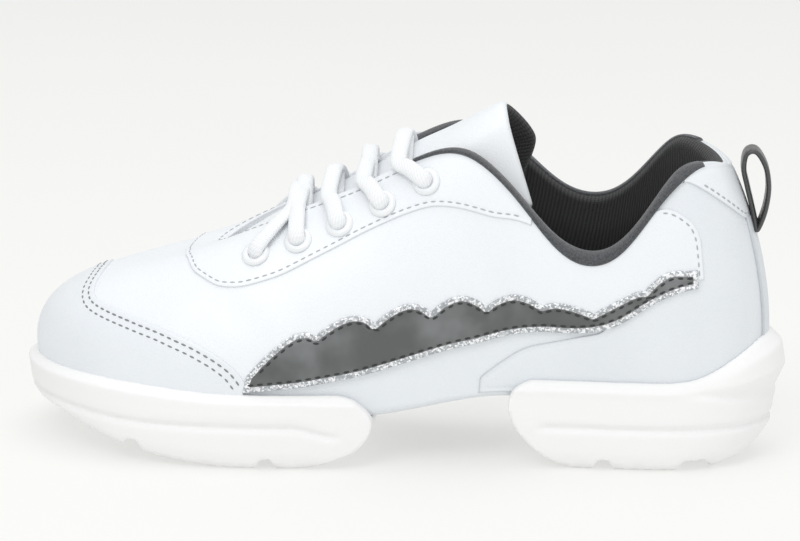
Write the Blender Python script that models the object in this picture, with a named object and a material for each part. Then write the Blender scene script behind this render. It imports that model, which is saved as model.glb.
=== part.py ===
"""A left dance sneaker with a split sole, in metres: toe at +X, outer side of the foot at +Y.

The origin is on the floor, in the middle of the heel's tread. The upper is worked out from a
table of ribs that run from the sole's edge up to the mouth of the shoe, and every other piece
takes its place from the upper's own function.
"""

import math

import bmesh
import bpy
import numpy as np
from mathutils import Vector

# Driving sizes of the whole shoe
LENGTH = 0.270
BALL_WIDTH = 0.0890
HEEL_WIDTH = 0.0580
HEEL_HEIGHT = 0.0800
INSTEP_HEIGHT = 0.0880
HEEL_BEHIND = 0.045
MEDIAL_LIFT = 0.0090
SEAT_HEIGHT = 0.024
BALL_DROP = 0.0070
TOE_SPRING = 0.0200

# Leather, lining and padding
WALL = 0.0022
COLLAR_PAD = 0.0032
MARGIN = 0.009
CORNER = 0.0026
SEAM_GAP = 0.0003
LAYER_GAP = 0.00045
VAMP_LAYER = 0.0009
EYESTAY_LAYER = 0.0017
COUNTER_LAYER = 0.0008
TAB_LAYER = 0.0012
BAND_LAYER = 0.0012
BINDING = 0.0011
BINDING_DEPTH = 0.0034

# Lacing
EYELET_ROWS = 5
EYELET_ACROSS = 0.0100
EYELET_HOLE = 0.0050
EYELET_FLANGE = 0.0011
EYELET_WALL = 0.0007
EYELET_BELOW_EDGE = 0.0098
EYELET_FIRST = 6.55
EYELET_LAST = 9.75
LACE_WIDTH = 0.0052
LACE_THICKNESS = 0.0022

# Pull loop at the heel
LOOP_WIDTH = 0.0130
LOOP_RIBBON = 0.0018
LOOP_OVER_COLLAR = 0.0095
LOOP_STAND_OFF = 0.0078
LOOP_FOOT = 0.0190

# Side band with its row of scallops
SCALLOPS = 8
SCALLOP_DEPTH = 0.045

# Sole pods
RIM_OVER_SEAT = 0.0072
BACK_CUP = 0.0150
RIM_WIDTH = 0.0036
FLARE = 0.0058
GROOVE_HEIGHT = 0.0148
GROOVE_WIDTH = 0.0026
GROOVE_DEPTH = 0.0014
TREAD_INSET = 0.0030
LUG_GAP = 0.0065
LUG_DEPTH = 0.0026

# What lies inside
BOARD = 0.0015
INSOLE = 0.0030
FLOOR_EASE = 0.0014
TONGUE = 0.0045
TONGUE_CLEARANCE = 0.0008
TONGUE_CROWN = 0.0030
TONGUE_WING = 0.013
TONGUE_RISE = 0.0115
TONGUE_BEYOND = 0.022

# Ribs of the upper, from the heel's back seam to the toe. foot_x and mouth_x are shares of
# LENGTH from the rearmost point. foot_out, foot_in and mouth_out are shares of half the width
# at that place, mouth_up is a share of the height there, and the last four columns are the
# rib's handles as shares of the same width and height.
RIB_COLUMNS = ("foot_x", "foot_out", "foot_in", "mouth_x", "mouth_out", "mouth_up",
               "low_out", "low_up", "top_out", "top_down")
RIBS = (
    (0.033, 0.00, 0.00, 0.083, 0.00, 0.994, 0.241, 0.325, 0.397, 0.269),
    (0.067, 0.66, 0.64, 0.104, 0.55, 1.031, 0.224, 0.325, 0.310, 0.275),
    (0.137, 0.98, 0.96, 0.152, 0.92, 0.992, 0.190, 0.300, 0.172, 0.260),
    (0.219, 1.02, 1.00, 0.222, 1.08, 0.655, 0.172, 0.240, 0.100, 0.190),
    (0.307, 1.01, 0.93, 0.290, 1.06, 0.632, 0.165, 0.240, 0.120, 0.190),
    (0.396, 1.00, 0.84, 0.362, 0.92, 0.852, 0.145, 0.250, 0.200, 0.230),
    (0.485, 0.98, 0.80, 0.426, 0.71, 1.000, 0.115, 0.300, 0.260, 0.220),
    (0.574, 1.00, 0.86, 0.493, 0.53, 0.968, 0.105, 0.320, 0.290, 0.190),
    (0.663, 1.01, 0.92, 0.552, 0.42, 0.880, 0.095, 0.310, 0.320, 0.160),
    (0.748, 1.00, 0.945, 0.611, 0.35, 0.796, 0.090, 0.280, 0.370, 0.130),
    (0.830, 0.92, 0.950, 0.663, 0.30, 0.722, 0.095, 0.265, 0.450, 0.110),
    (0.900, 0.72, 0.860, 0.704, 0.24, 0.656, 0.125, 0.290, 0.600, 0.095),
    (0.957, 0.36, 0.640, 0.728, 0.135, 0.610, 0.205, 0.335, 0.860, 0.095),
    (0.982, -0.13, 0.13, 0.737, 0.00, 0.590, 0.255, 0.355, 1.060, 0.110),
)
COLUMNS_BETWEEN = (3, 3, 2, 2, 2, 2, 2, 2, 2, 2, 3, 3, 3)
WALL_LEVELS = 8
LINING_LEVELS = (1, 2, 4, 6, 7, 8)


def smooth_step(low, high, value):
    """0 below low, 1 above high, with a soft change between."""
    share = min(max((value - low) / (high - low), 0.0), 1.0)
    return share * share * (3 - 2 * share)


def mix(first, second, share):
    return first + (second - first) * share


def along(share):
    """The X of a share of the length, measured from the rearmost point."""
    return share * LENGTH - HEEL_BEHIND


def share_of(x):
    return (x + HEEL_BEHIND) / LENGTH


def half_width(share):
    return mix(HEEL_WIDTH, BALL_WIDTH, smooth_step(0.30, 0.72, share)) / 2


def height(share):
    return mix(HEEL_HEIGHT, INSTEP_HEIGHT, smooth_step(0.15, 0.42, share))


def seat(share):
    """The height of the upper's lower edge: level at the heel, lower at the ball, up at the toe."""
    ball = BALL_DROP * smooth_step(0.36, 0.55, share)
    spring = 0.25 * TOE_SPRING * smooth_step(0.70, 1.0, share)
    return SEAT_HEIGHT - ball + spring


def medial_lift(share):
    """How much higher the collar stands on the inner side of the foot."""
    return MEDIAL_LIFT * smooth_step(0.10, 0.21, share) * (1 - smooth_step(0.27, 0.43, share))


def rib(row, side):
    """The four handles of one rib: its foot, two handles and its mouth, without the turn outwards."""
    named = dict(zip(RIB_COLUMNS, RIBS[row]))
    wide = half_width(named["foot_x"])
    tall = height(named["mouth_x"])
    out = named["foot_out"] if side > 0 else named["foot_in"]
    if row == len(RIBS) - 1:
        out = named["foot_out"] * side
    foot = np.array([along(named["foot_x"]), side * out * wide, seat(named["foot_x"])])
    lift = medial_lift(named["mouth_x"]) if side < 0 else 0.0
    mouth_wide = half_width(named["mouth_x"])
    mouth = np.array([along(named["mouth_x"]), side * named["mouth_out"] * mouth_wide,
                      seat(named["mouth_x"]) + named["mouth_up"] * tall + lift])
    handles = np.array([named["low_out"] * wide, named["low_up"] * tall,
                        named["top_out"] * wide, named["top_down"] * tall])
    return foot, mouth, handles


def rib_rings():
    """Foot, mouth and handles of all the ribs, once round: out along +Y to the toe, back along -Y."""
    last = len(RIBS) - 1
    order = [(row, 1) for row in range(last + 1)]
    order += [(row, -1) for row in range(last - 1, 0, -1)]
    made = [rib(row, side) for row, side in order]
    return [np.array(part) for part in zip(*made)]


def round_spline(ring, place):
    """A smooth closed curve through a ring of rows, read at a place counted in rows."""
    count = len(ring)
    start = math.floor(place)
    share = place - start
    p0, p1, p2, p3 = (ring[(start + step) % count] for step in (-1, 0, 1, 2))
    return 0.5 * (2 * p1 + (p2 - p0) * share + (2 * p0 - 5 * p1 + 4 * p2 - p3) * share ** 2
                  + (3 * p1 - p0 - 3 * p2 + p3) * share ** 3)


FEET, MOUTHS, HANDLES = rib_rings()
TURN = len(FEET)
TOE_ROW = len(RIBS) - 1


def places():
    """The ribs that the meshes are drawn on, counted in rows of the table and parts between."""
    lateral = []
    for row, count in enumerate(COLUMNS_BETWEEN):
        lateral += [row + part / count for part in range(count)]
    medial = [TURN - place for place in reversed(lateral[1:])]
    return lateral + [float(TOE_ROW)] + medial


PLACES = places()


def outward(place):
    """The level direction that points out of the foot's outline at a rib."""
    ahead = round_spline(FEET, place + 0.05) - round_spline(FEET, place - 0.05)
    out = np.array([-ahead[1], ahead[0], 0.0])
    return out / np.linalg.norm(out)


def seated(point, lift):
    """A point moved straight up or down to a height over the seat."""
    return np.array([point[0], point[1], seat(share_of(point[0])) + lift])


def wall(place, rise):
    """A point of the upper's outside: rise is 0 at the foot of the rib and 1 at the mouth."""
    foot = seated(round_spline(FEET, place), 0.0)
    mouth = round_spline(MOUTHS, place)
    low_out, low_up, top_out, top_down = round_spline(HANDLES, place)
    out = outward(place)
    level = (foot - mouth) * [1, 1, 0]
    lean = out + level / (0.5 * BALL_WIDTH)
    lean = lean / np.linalg.norm(lean)
    up = np.array([0.0, 0.0, 1.0])
    low = foot + out * low_out + up * low_up
    top = mouth + lean * top_out - up * top_down
    rest = 1 - rise
    return (foot * rest ** 3 + 3 * low * rise * rest ** 2
            + 3 * top * rise ** 2 * rest + mouth * rise ** 3)


def normal(place, rise):
    """The direction that points out of the upper's wall."""
    step = 0.01
    high = min(rise + step, 1.0)
    low = max(rise - step, 0.0)
    across = wall(place + 0.04, rise) - wall(place - 0.04, rise)
    upward = wall(place, high) - wall(place, low)
    out = np.cross(upward, across)
    return out / np.linalg.norm(out)


def off_wall(place, rise, distance):
    """A point that stands off the upper's outside by a distance."""
    return wall(place, rise) + normal(place, rise) * distance


def row_of(place):
    """How far along the table a rib is, the same on both sides of the foot."""
    place = place % TURN
    return min(place, TURN - place)


def wall_thickness(place, rise):
    """Leather and lining, thicker where the collar is padded."""
    row = row_of(place)
    behind = 1 - smooth_step(5.2, 6.6, row)
    return WALL + COLLAR_PAD * behind * smooth_step(0.45, 0.80, rise)


def rise_at_height(place, z):
    """Where on a rib the outside reaches a height, 0 where the height is below its foot."""
    low, high = 0.0, 0.8
    if z <= wall(place, 0.0)[2]:
        return 0.0
    for _ in range(24):
        middle = (low + high) / 2
        if wall(place, middle)[2] < z:
            low = middle
        else:
            high = middle
    return low


def new_object(name, vertices, faces, material):
    """One closed body, with its faces turned outwards."""
    mesh = bpy.data.meshes.new(name)
    body = bmesh.new()
    made = [body.verts.new(Vector(vertex)) for vertex in vertices]
    for face in faces:
        body.faces.new([made[index] for index in face])
    bmesh.ops.recalc_face_normals(body, faces=body.faces)
    if body.calc_volume(signed=True) < 0:
        bmesh.ops.reverse_faces(body, faces=body.faces)
    body.to_mesh(mesh)
    body.free()
    mesh.materials.append(material)
    mesh.shade_smooth()
    mesh.set_sharp_from_angle(angle=math.radians(40))
    made_object = bpy.data.objects.new(name, mesh)
    bpy.context.collection.objects.link(made_object)
    return made_object


def material(name, colour, roughness, metallic=0.0):
    made = bpy.data.materials.new(name)
    made.use_nodes = True
    shader = made.node_tree.nodes["Principled BSDF"]
    shader.inputs["Base Color"].default_value = (*colour, 1.0)
    shader.inputs["Roughness"].default_value = roughness
    shader.inputs["Metallic"].default_value = metallic
    return made


def round_solid(rings, closed_section=True):
    """Vertices and faces of a body whose section, a list of rings, is carried once round."""
    count = len(rings[0])
    vertices = [point for ring in rings for point in ring]
    faces = []
    pairs = len(rings) if closed_section else len(rings) - 1
    for level in range(pairs):
        upper = (level + 1) % len(rings)
        for column in range(count):
            after = (column + 1) % count
            faces.append((level * count + column, level * count + after,
                          upper * count + after, upper * count + column))
    return vertices, faces


def lid(ring_start, count, up):
    """Faces that close a ring, from the outer side of the foot straight across to the inner side."""
    faces = []
    for left in range(count // 2):
        right = (count - left) % count
        left_after = left + 1
        right_after = count - left_after
        corners = [left, left_after, right_after % count, right]
        corners = list(dict.fromkeys(corners))
        face = [ring_start + corner for corner in corners]
        if len(face) > 2:
            faces.append(face if up else face[::-1])
    return faces


def make_upper(leather):
    """The hollow upper: outside, turned-in margin, inside and rounded mouth, as rings round the foot."""
    outside, inside = [], []
    for level in range(1, WALL_LEVELS + 1):
        rise = level / WALL_LEVELS
        outside.append([off_wall(place, rise, 0.0) for place in PLACES])
        if level in LINING_LEVELS:
            inside.append([off_wall(place, rise, -wall_thickness(place, rise)) for place in PLACES])
    up = np.array([0.0, 0.0, 1.0])
    feet = [(wall(place, 0.0), outward(place)) for place in PLACES]
    heel_of_wall = [foot + up * CORNER + (wall(place, 0.03) - foot) * [1, 1, 0]
                    for (foot, _), place in zip(feet, PLACES)]
    bend = [foot - out * 0.3 * CORNER + up * 0.3 * CORNER for foot, out in feet]
    under = [seated(foot - out * CORNER, 0.0) for foot, out in feet]
    edge = [seated(foot - out * MARGIN, 0.0) for foot, out in feet]
    edge_inside = [seated(foot - out * MARGIN, WALL) for foot, out in feet]
    bend_inside = [seated(foot - out * (WALL + 0.3 * CORNER), WALL) for foot, out in feet]
    mouth_top = []
    for place in PLACES:
        thick = wall_thickness(place, 1.0)
        ahead = wall(place, 1.0) - wall(place, 0.97)
        ahead = ahead / np.linalg.norm(ahead)
        mouth_top.append(off_wall(place, 1.0, -thick / 2) + ahead * thick * 0.3)
    rings = [edge, under, bend, heel_of_wall] + outside + [mouth_top]
    rings += inside[::-1] + [bend_inside, edge_inside]
    return new_object("upper", *round_solid(rings), leather)


def tread_height(x):
    """The height of the sole's underside: flat under heel and ball, raised at toe and heel edge."""
    toe = TOE_SPRING * max(0.0, (share_of(x) - 0.70) / 0.30) ** 1.9
    heel = 0.5 * TOE_SPRING * max(0.0, (0.085 - share_of(x)) / 0.06) ** 1.8
    return toe + heel


def rim_height(place):
    """The top of the sole's cup, which climbs the back of the heel."""
    foot = wall(place, 0.0)
    share = share_of(foot[0])
    climb = 1 - smooth_step(0.02, 0.16, share)
    ball = 0.0016 * smooth_step(0.45, 0.6, share) * (1 - smooth_step(0.8, 1.0, share))
    return foot[2] + RIM_OVER_SEAT + ball + BACK_CUP * climb ** 1.6


def sole_section(place):
    """The sole's section at one rib, from the seat over the rim and down the side to the tread."""
    foot = wall(place, 0.0)
    out = outward(place)
    share = share_of(foot[0])
    rim = rim_height(place)
    end = max(smooth_step(0.86, 0.98, share), 1 - smooth_step(0.03, 0.16, share))
    groove = GROOVE_HEIGHT + 0.16 * TOE_SPRING * smooth_step(0.8, 1.0, share)
    points = []

    def beside(z, distance):
        at = wall(place, rise_at_height(place, z))
        points.append(np.array([at[0], at[1], z]) + out * distance)

    points.append(seated(foot - out * MARGIN, -SEAM_GAP))
    points.append(seated(foot + out * SEAM_GAP, -SEAM_GAP))
    for part in (0.34, 0.67, 1.0):
        beside(mix(foot[2], rim, part), SEAM_GAP * 1.3)
    lip = mix(RIM_WIDTH, 0.45 * RIM_WIDTH, 1 - smooth_step(0.02, 0.14, share))
    shoulder = mix(rim, groove, 0.34)
    beside(rim - 0.0004, lip)
    beside(shoulder, FLARE)
    beside(groove + GROOVE_WIDTH / 2, FLARE + 0.0004)
    beside(groove, FLARE + 0.0004 - GROOVE_DEPTH)
    beside(groove - GROOVE_WIDTH / 2, FLARE + 0.0004)
    inset = mix(TREAD_INSET, 3.2 * TREAD_INSET, end)
    side = foot[:2] + out[:2] * (FLARE - inset)
    tread = tread_height(side[0])
    low = mix(tread, groove, 0.38)
    beside(low, FLARE - 0.12 * inset)
    points.append(np.array([side[0], side[1], tread]))
    return points


def sole_blank(name, rubber):
    """The sole as if it ran the whole length, which the two pods are cut from."""
    sections = [sole_section(place) for place in PLACES]
    rings = [list(ring) for ring in zip(*sections)]
    vertices, faces = round_solid(rings, closed_section=False)
    count = len(PLACES)
    faces += lid(0, count, True)
    faces += lid((len(rings) - 1) * count, count, False)
    return new_object(name, vertices, faces, rubber)


def side_prism(name, outline, half_depth):
    """A cutter drawn from the side, as wide as the shoe."""
    count = len(outline)
    vertices = [(x, half_depth, z) for x, z in outline] + [(x, -half_depth, z) for x, z in outline]
    faces = [tuple(range(count)), tuple(range(2 * count - 1, count - 1, -1))]
    faces += [(i, (i + 1) % count, count + (i + 1) % count, count + i) for i in range(count)]
    cutter = new_object(name, vertices, faces, bpy.data.materials[0])
    cutter.hide_render = True
    cutter.display_type = "WIRE"
    return cutter


def cut(target, tool, operation):
    """A Boolean on the target, worked out at once."""
    modifier = target.modifiers.new("cut", "BOOLEAN")
    modifier.operation = operation
    modifier.solver = "EXACT"
    modifier.object = tool
    with bpy.context.temp_override(object=target, active_object=target):
        bpy.ops.object.modifier_apply(modifier=modifier.name)


# The rounded end of each pod, seen from the side: shares of LENGTH along and of the rim's height up
FOREFOOT_END = ((0.640, 3.00), (0.618, 1.08), (0.585, 0.99), (0.556, 0.90), (0.537, 0.74),
                (0.530, 0.58), (0.536, 0.40), (0.553, 0.22), (0.585, 0.08), (0.625, -0.02),
                (0.640, -0.50))
HEEL_END = ((0.290, 3.00), (0.306, 1.08), (0.330, 1.00), (0.350, 0.90), (0.357, 0.75),
            (0.354, 0.58), (0.343, 0.40), (0.326, 0.24), (0.304, 0.10), (0.272, -0.02),
            (0.260, -0.50))
FOREFOOT_LUGS = (0.640, 0.700, 0.770, 0.845)
HEEL_LUGS = (0.100, 0.225)


def make_soles(rubber):
    """Forefoot and heel pods: the blank, cut by each pod's side outline and by its lug gaps."""
    depth = BALL_WIDTH
    for name, end, far, lugs in (
        ("forefoot_sole", FOREFOOT_END, 1.20, FOREFOOT_LUGS),
        ("heel_sole", HEEL_END, -0.20, HEEL_LUGS),
    ):
        pod = sole_blank(name, rubber)
        rim = SEAT_HEIGHT + RIM_OVER_SEAT - (BALL_DROP * 0.6 if far > 1 else 0.0)
        outline = [(along(share), up * rim) for share, up in end]
        outline += [(along(far), -0.5 * rim), (along(far), 3.0 * rim)]
        cut(pod, side_prism(name + "_keep", outline, depth), "INTERSECT")
        for number, share in enumerate(lugs):
            x = along(share)
            floor = tread_height(x)
            gap = [(x - LUG_GAP / 2 - LUG_DEPTH, floor - 2 * LUG_DEPTH),
                   (x + LUG_GAP / 2 + LUG_DEPTH, floor - 2 * LUG_DEPTH),
                   (x + LUG_GAP / 4, floor + LUG_DEPTH), (x - LUG_GAP / 4, floor + LUG_DEPTH)]
            cut(pod, side_prism(f"{name}_gap_{number}", gap, depth), "DIFFERENCE")
        pod.data.shade_smooth()
        pod.data.set_sharp_from_angle(angle=math.radians(35))


def inner_outline(z_over_seat, clearance):
    """The room inside the upper at a height over its lower edge, once round."""
    points = []
    for place in PLACES:
        foot = wall(place, 0.0)
        z = max(foot[2], foot[2] + z_over_seat - 2 * WALL)
        at = wall(place, rise_at_height(place, z))
        points.append(seated(at - outward(place) * (WALL + clearance), z_over_seat))
    return points


def make_plate(name, low, thickness, clearance, stuff):
    """A flat piece that fills the shoe's floor, between two outlines."""
    rings = [inner_outline(low, clearance), inner_outline(low + thickness, clearance)]
    vertices, faces = round_solid(rings, closed_section=False)
    count = len(PLACES)
    faces += lid(0, count, False)
    faces += lid(count, count, True)
    return new_object(name, vertices, faces, stuff)


def below_mouth(place, distance):
    """How far up a rib the point lies that is a distance short of the mouth."""
    mouth = wall(place, 1.0)
    low, high = 0.3, 1.0
    for _ in range(24):
        middle = (low + high) / 2
        if np.linalg.norm(wall(place, middle) - mouth) > distance:
            low = middle
        else:
            high = middle
    return low


def inside(place, rise, clearance):
    """A point inside the upper, a clearance away from its lining."""
    return off_wall(place, rise, -wall_thickness(place, rise) - clearance)


# The tongue, from its end under the vamp to its free top: the row of the rib that it lies under,
# and the depth of its wings as a share of TONGUE_WING
TONGUE_ROWS = ((12.2, 0.75), (11.6, 0.8), (10.8, 0.9), (10.0, 1.0), (9.0, 1.0), (8.0, 1.1),
               (7.5, 1.2), (7.0, 1.35), (6.7, 1.5))
# Its free sections past the collar's corner: shares of TONGUE_BEYOND back and of TONGUE_RISE up,
# then half widths and drops of edge and wing in shares of the throat's half width
TONGUE_FREE = ((0.38, 0.38, 0.95, 0.36, 1.12, 1.30), (0.74, 0.80, 0.86, 0.34, 1.10, 1.45),
               (1.00, 1.02, 0.74, 0.30, 1.02, 1.52))


def tongue_spine():
    """Five points across each section of the tongue: wing, edge, middle, edge, wing."""
    sections = []
    for row, wing in TONGUE_ROWS:
        points = []
        clearance = TONGUE_CLEARANCE + (BINDING + SEAM_GAP) * (1 - smooth_step(7.0, 7.6, row))
        for place in (row, TURN - row):
            edge = inside(place, 1.0, clearance)
            low = inside(place, below_mouth(place, wing * TONGUE_WING), clearance)
            points.append((low, edge))
        mouth = (wall(row, 1.0) + wall(TURN - row, 1.0)) / 2
        crown = mouth + np.array([0.0, 0.0, TONGUE_CROWN * smooth_step(12.6, 9.0, row)])
        (left_low, left), (right_low, right) = points
        sections.append([left_low, left, crown * [1, 0, 1], right, right_low])
    top_row = TONGUE_ROWS[-1][0]
    half = wall(top_row, 1.0)[1] - 2 * BINDING
    crown = sections[-1][2]
    for back, up, edge_out, edge_down, wing_out, wing_down in TONGUE_FREE:
        middle = crown + np.array([-back * TONGUE_BEYOND, 0.0, up * TONGUE_RISE])
        points = []
        for side in (1, -1):
            edge = middle + np.array([-0.0010, side * edge_out * half, -edge_down * half])
            low = middle + np.array([-0.0045, side * wing_out * half, -wing_down * half])
            points.append((low, edge))
        (left_low, left), (right_low, right) = points
        sections.append([left_low, left, middle, right, right_low])
    return sections


def through(points, share):
    """A smooth curve through a few points, from the first at 0 to the last at 1."""
    count = len(points) - 1
    place = min(share * count, count - 1e-9)
    start = int(place)
    t = place - start
    p0 = points[max(start - 1, 0)]
    p1, p2 = points[start], points[start + 1]
    p3 = points[min(start + 2, count)]
    return 0.5 * (2 * p1 + (p2 - p0) * t + (2 * p0 - 5 * p1 + 4 * p2 - p3) * t ** 2
                  + (3 * p1 - p0 - 3 * p2 + p3) * t ** 3)


def make_tongue(leather):
    """The padded tongue: arched sections from under the vamp, between the eyestays, to its top."""
    across = 8
    vertices, sections = [], tongue_spine()
    for index, points in enumerate(sections):
        top = [through(points, part / across) for part in range(across + 1)]
        half = max(abs(points[1][1]), 0.001)
        end = 0.5 if index in (0, len(sections) - 1) else 1.0
        bottom = []
        for point in reversed(top):
            tuck = 0.45 * min(max(point[1] / half, -1.2), 1.2)
            down = np.array([0.0, -tuck, -1.0])
            bottom.append(point + down / np.linalg.norm(down) * TONGUE * end)
        vertices += top + bottom
    ring = 2 * (across + 1)
    faces = []
    for section in range(len(sections) - 1):
        for side in range(ring):
            after = (side + 1) % ring
            faces.append((section * ring + side, section * ring + after,
                          (section + 1) * ring + after, (section + 1) * ring + side))
    for start in (0, (len(sections) - 1) * ring):
        for side in range(across):
            faces.append((start + side, start + side + 1, start + ring - 2 - side, start + ring - 1 - side))
    return new_object("tongue", vertices, faces, leather)


def at_row(table, row):
    """A value read from a table of (row, value) pairs, with a soft line through the pairs."""
    if row <= table[0][0]:
        return table[0][1]
    for (first, low), (second, high) in zip(table, table[1:]):
        if row <= second:
            return mix(low, high, (row - first) / (second - first))
    return table[-1][1]


def sheet_solid(name, grid, stuff):
    """A thin closed body from a grid of (outer point, inner point) pairs."""
    columns, levels = len(grid), len(grid[0])
    vertices = [pair[0] for column in grid for pair in column]
    inner = len(vertices)
    vertices += [pair[1] for column in grid for pair in column]
    faces = []

    def number(column, level, side):
        return side * inner + column * levels + level

    for column in range(columns - 1):
        for level in range(levels - 1):
            quad = [(column, level), (column + 1, level), (column + 1, level + 1), (column, level + 1)]
            faces.append([number(*corner, 0) for corner in quad])
            faces.append([number(*corner, 1) for corner in reversed(quad)])
    rim = [(column, 0) for column in range(columns)]
    rim += [(columns - 1, level) for level in range(1, levels)]
    rim += [(column, levels - 1) for column in range(columns - 2, -1, -1)]
    rim += [(0, level) for level in range(levels - 2, 0, -1)]
    for corner, after in zip(rim, rim[1:] + rim[:1]):
        faces.append([number(*corner, 0), number(*corner, 1), number(*after, 1), number(*after, 0)])
    return new_object(name, vertices, faces, stuff)


def columns_between(first, last, extra=()):
    """The ribs from one place to another: both ends, and each rib of the meshes between them."""
    ease = 0.12
    inner = [place for turn in (-TURN, 0, TURN) for place in (p + turn for p in PLACES)
             if first + ease < place < last - ease]
    return sorted([first, last] + inner + list(extra))


def overlay(name, places_round, levels, low, high, layer, stuff):
    """A layer that lies on the upper, between two heights on each rib."""
    grid = []
    for place in places_round:
        bottom, top = low(place), high(place)
        column = []
        for level in range(levels):
            rise = mix(bottom, top, level / (levels - 1))
            column.append((off_wall(place, rise, LAYER_GAP + layer), off_wall(place, rise, LAYER_GAP)))
        grid.append(column)
    return sheet_solid(name, grid, stuff)


# Where the seams cross the ribs: (row, rise) pairs, the same on both sides of the foot
TOE_SEAM = ((8.4, 0.15), (8.6, 0.21), (9.0, 0.27), (9.5, 0.325), (10.2, 0.38), (10.9, 0.415),
            (11.6, 0.455), (12.2, 0.495), (13.0, 0.520))
EYESTAY_SEAM = ((4.6, 0.93), (4.9, 0.865), (5.2, 0.80), (5.6, 0.765), (6.0, 0.75), (6.4, 0.75),
                (6.9, 0.735), (7.6, 0.70), (8.2, 0.65), (8.7, 0.595), (9.3, 0.56), (9.8, 0.575),
                (10.3, 0.62), (10.9, 0.69), (11.6, 0.76), (12.3, 0.83), (13.0, 0.86))
BAND_TOP = ((1.75, 0.560), (2.6, 0.645), (4.1, 0.630), (5.1, 0.480), (6.0, 0.420), (7.0, 0.390),
            (7.6, 0.370), (8.0, 0.335), (8.55, 0.200))
BAND_FOOT = ((1.75, 0.490), (2.6, 0.505), (4.1, 0.430), (5.1, 0.285), (6.0, 0.215), (7.0, 0.160),
             (7.6, 0.135), (8.55, 0.115))
TAB_SEAM = ((0.0, 0.735), (0.5, 0.740), (0.8, 0.780), (1.1, 0.825), (1.5, 0.890), (1.8, 0.950))
COUNTER_TOP = ((0.0, 0.735), (0.5, 0.740), (0.8, 0.780), (1.1, 0.825), (1.34, 0.830), (1.67, 0.700))
COUNTER_FRONT = ((1.67, 0.470), (2.6, 0.480), (3.6, 0.405), (4.4, 0.280), (5.0, 0.100))
SEAM_SHARE = 0.012


def make_vamp(leather):
    """Vamp and quarters in one layer, from the counter seam round the front of the eyestay."""
    def low(place):
        row = row_of(place)
        if row >= 8.4:
            return at_row(TOE_SEAM, row)
        return at_row(BAND_TOP, row) + SEAM_SHARE

    def high(place):
        row = row_of(place)
        collar = below_mouth(place, BINDING_DEPTH + 2 * SEAM_GAP)
        tab = at_row(TAB_SEAM, row) - SEAM_SHARE if row < 1.8 else 1.0
        eyestay = at_row(EYESTAY_SEAM, row) - SEAM_SHARE if row > 4.6 else 1.0
        return min(collar, tab, eyestay)

    start = 1.74
    round_places = columns_between(start, TURN - start)
    overlay("vamp_and_quarters", round_places, 6, low, high, VAMP_LAYER, leather)


def make_eyestay(leather):
    """The thick facing round the throat, up to the mouth, with its corners under the binding."""
    def low(place):
        return at_row(EYESTAY_SEAM, row_of(place))

    def high(place):
        row = row_of(place)
        bound = BINDING_DEPTH + 2 * SEAM_GAP
        return below_mouth(place, bound * (1 - smooth_step(6.81, 6.85, row)) + 0.0002)

    start, step_up, stepped = 4.62, 6.80, 6.86
    steps = (step_up, stepped, TURN - stepped, TURN - step_up)
    round_places = columns_between(start, TURN - start, steps)
    return overlay("eyestay", round_places, 4, low, high, EYESTAY_LAYER, leather)


def make_heel(leather):
    """Counter low round the heel, and the tab above it."""
    def counter_low(place):
        return rise_at_height(place, rim_height(place) + 2 * SEAM_GAP)

    def counter_high(place):
        row = row_of(place)
        return at_row(COUNTER_TOP, row) - SEAM_SHARE if row < 1.69 else at_row(COUNTER_FRONT, row)

    front, step_down = 4.9, 1.70
    overlay("heel_counter", columns_between(-front, front, (-step_down, step_down)), 7,
            counter_low, counter_high, COUNTER_LAYER, leather)

    def tab_low(place):
        return at_row(TAB_SEAM, row_of(place))

    def tab_high(place):
        return below_mouth(place, 0.0004)

    start = 1.5
    overlay("heel_tab", columns_between(-start, start), 3, tab_low, tab_high, TAB_LAYER, leather)


def make_bands(gloss):
    """A dark band along each side, scalloped along its top."""
    first, last = 1.78, 8.30
    steps = 4 * SCALLOPS
    for name, side in (("side_band_lateral", 1), ("side_band_medial", -1)):
        grid = []
        for step in range(steps + 1):
            share = step / steps
            row = mix(first, last, share)
            place = row if side > 0 else TURN - row
            low = at_row(BAND_FOOT, row)
            high = at_row(BAND_TOP, row)
            wave = abs(math.sin(math.pi * SCALLOPS * share))
            top = high - SCALLOP_DEPTH * (1 - wave) * smooth_step(0.0, 0.06, share)
            column = []
            for level in range(3):
                rise = mix(low, top, level / 2)
                column.append((off_wall(place, rise, LAYER_GAP + BAND_LAYER),
                               off_wall(place, rise, LAYER_GAP)))
            grid.append(column)
        sheet_solid(name, grid, gloss)


def make_bindings(felt):
    """The binding over the collar's edge, from the eyestay's corner to the heel tab, each side."""
    first, last = 1.62, 6.78
    for name, side in (("collar_binding_lateral", 1), ("collar_binding_medial", -1)):
        rings = []
        for row in columns_between(first, last):
            place = row if side > 0 else TURN - row
            thick = wall_thickness(place, 1.0)
            top = wall(place, 1.0)
            out = normal(place, 1.0)
            ahead = top - wall(place, 0.97)
            ahead = ahead / np.linalg.norm(ahead)
            deep = below_mouth(place, BINDING_DEPTH)
            outer, inner = SEAM_GAP, -SEAM_GAP
            below = off_wall(place, deep, outer)
            below_far = off_wall(place, deep, outer + BINDING)
            below_in = off_wall(place, deep, inner - wall_thickness(place, deep))
            below_in_far = off_wall(place, deep, inner - BINDING - wall_thickness(place, deep))
            arch = 0.3 * thick
            rings.append([
                below, top + out * (outer + 0.0001) + ahead * SEAM_GAP,
                top - out * thick / 2 + ahead * (arch + 2 * SEAM_GAP),
                top - out * (thick + SEAM_GAP + 0.0001) + ahead * SEAM_GAP, below_in,
                below_in_far, top - out * (thick + SEAM_GAP + 0.9 * BINDING) + ahead * 0.6 * BINDING,
                top - out * thick / 2 + ahead * (arch + 2 * SEAM_GAP + BINDING),
                top + out * (SEAM_GAP + 0.9 * BINDING) + ahead * 0.6 * BINDING, below_far])
        swept_solid(name, rings, felt)


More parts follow.
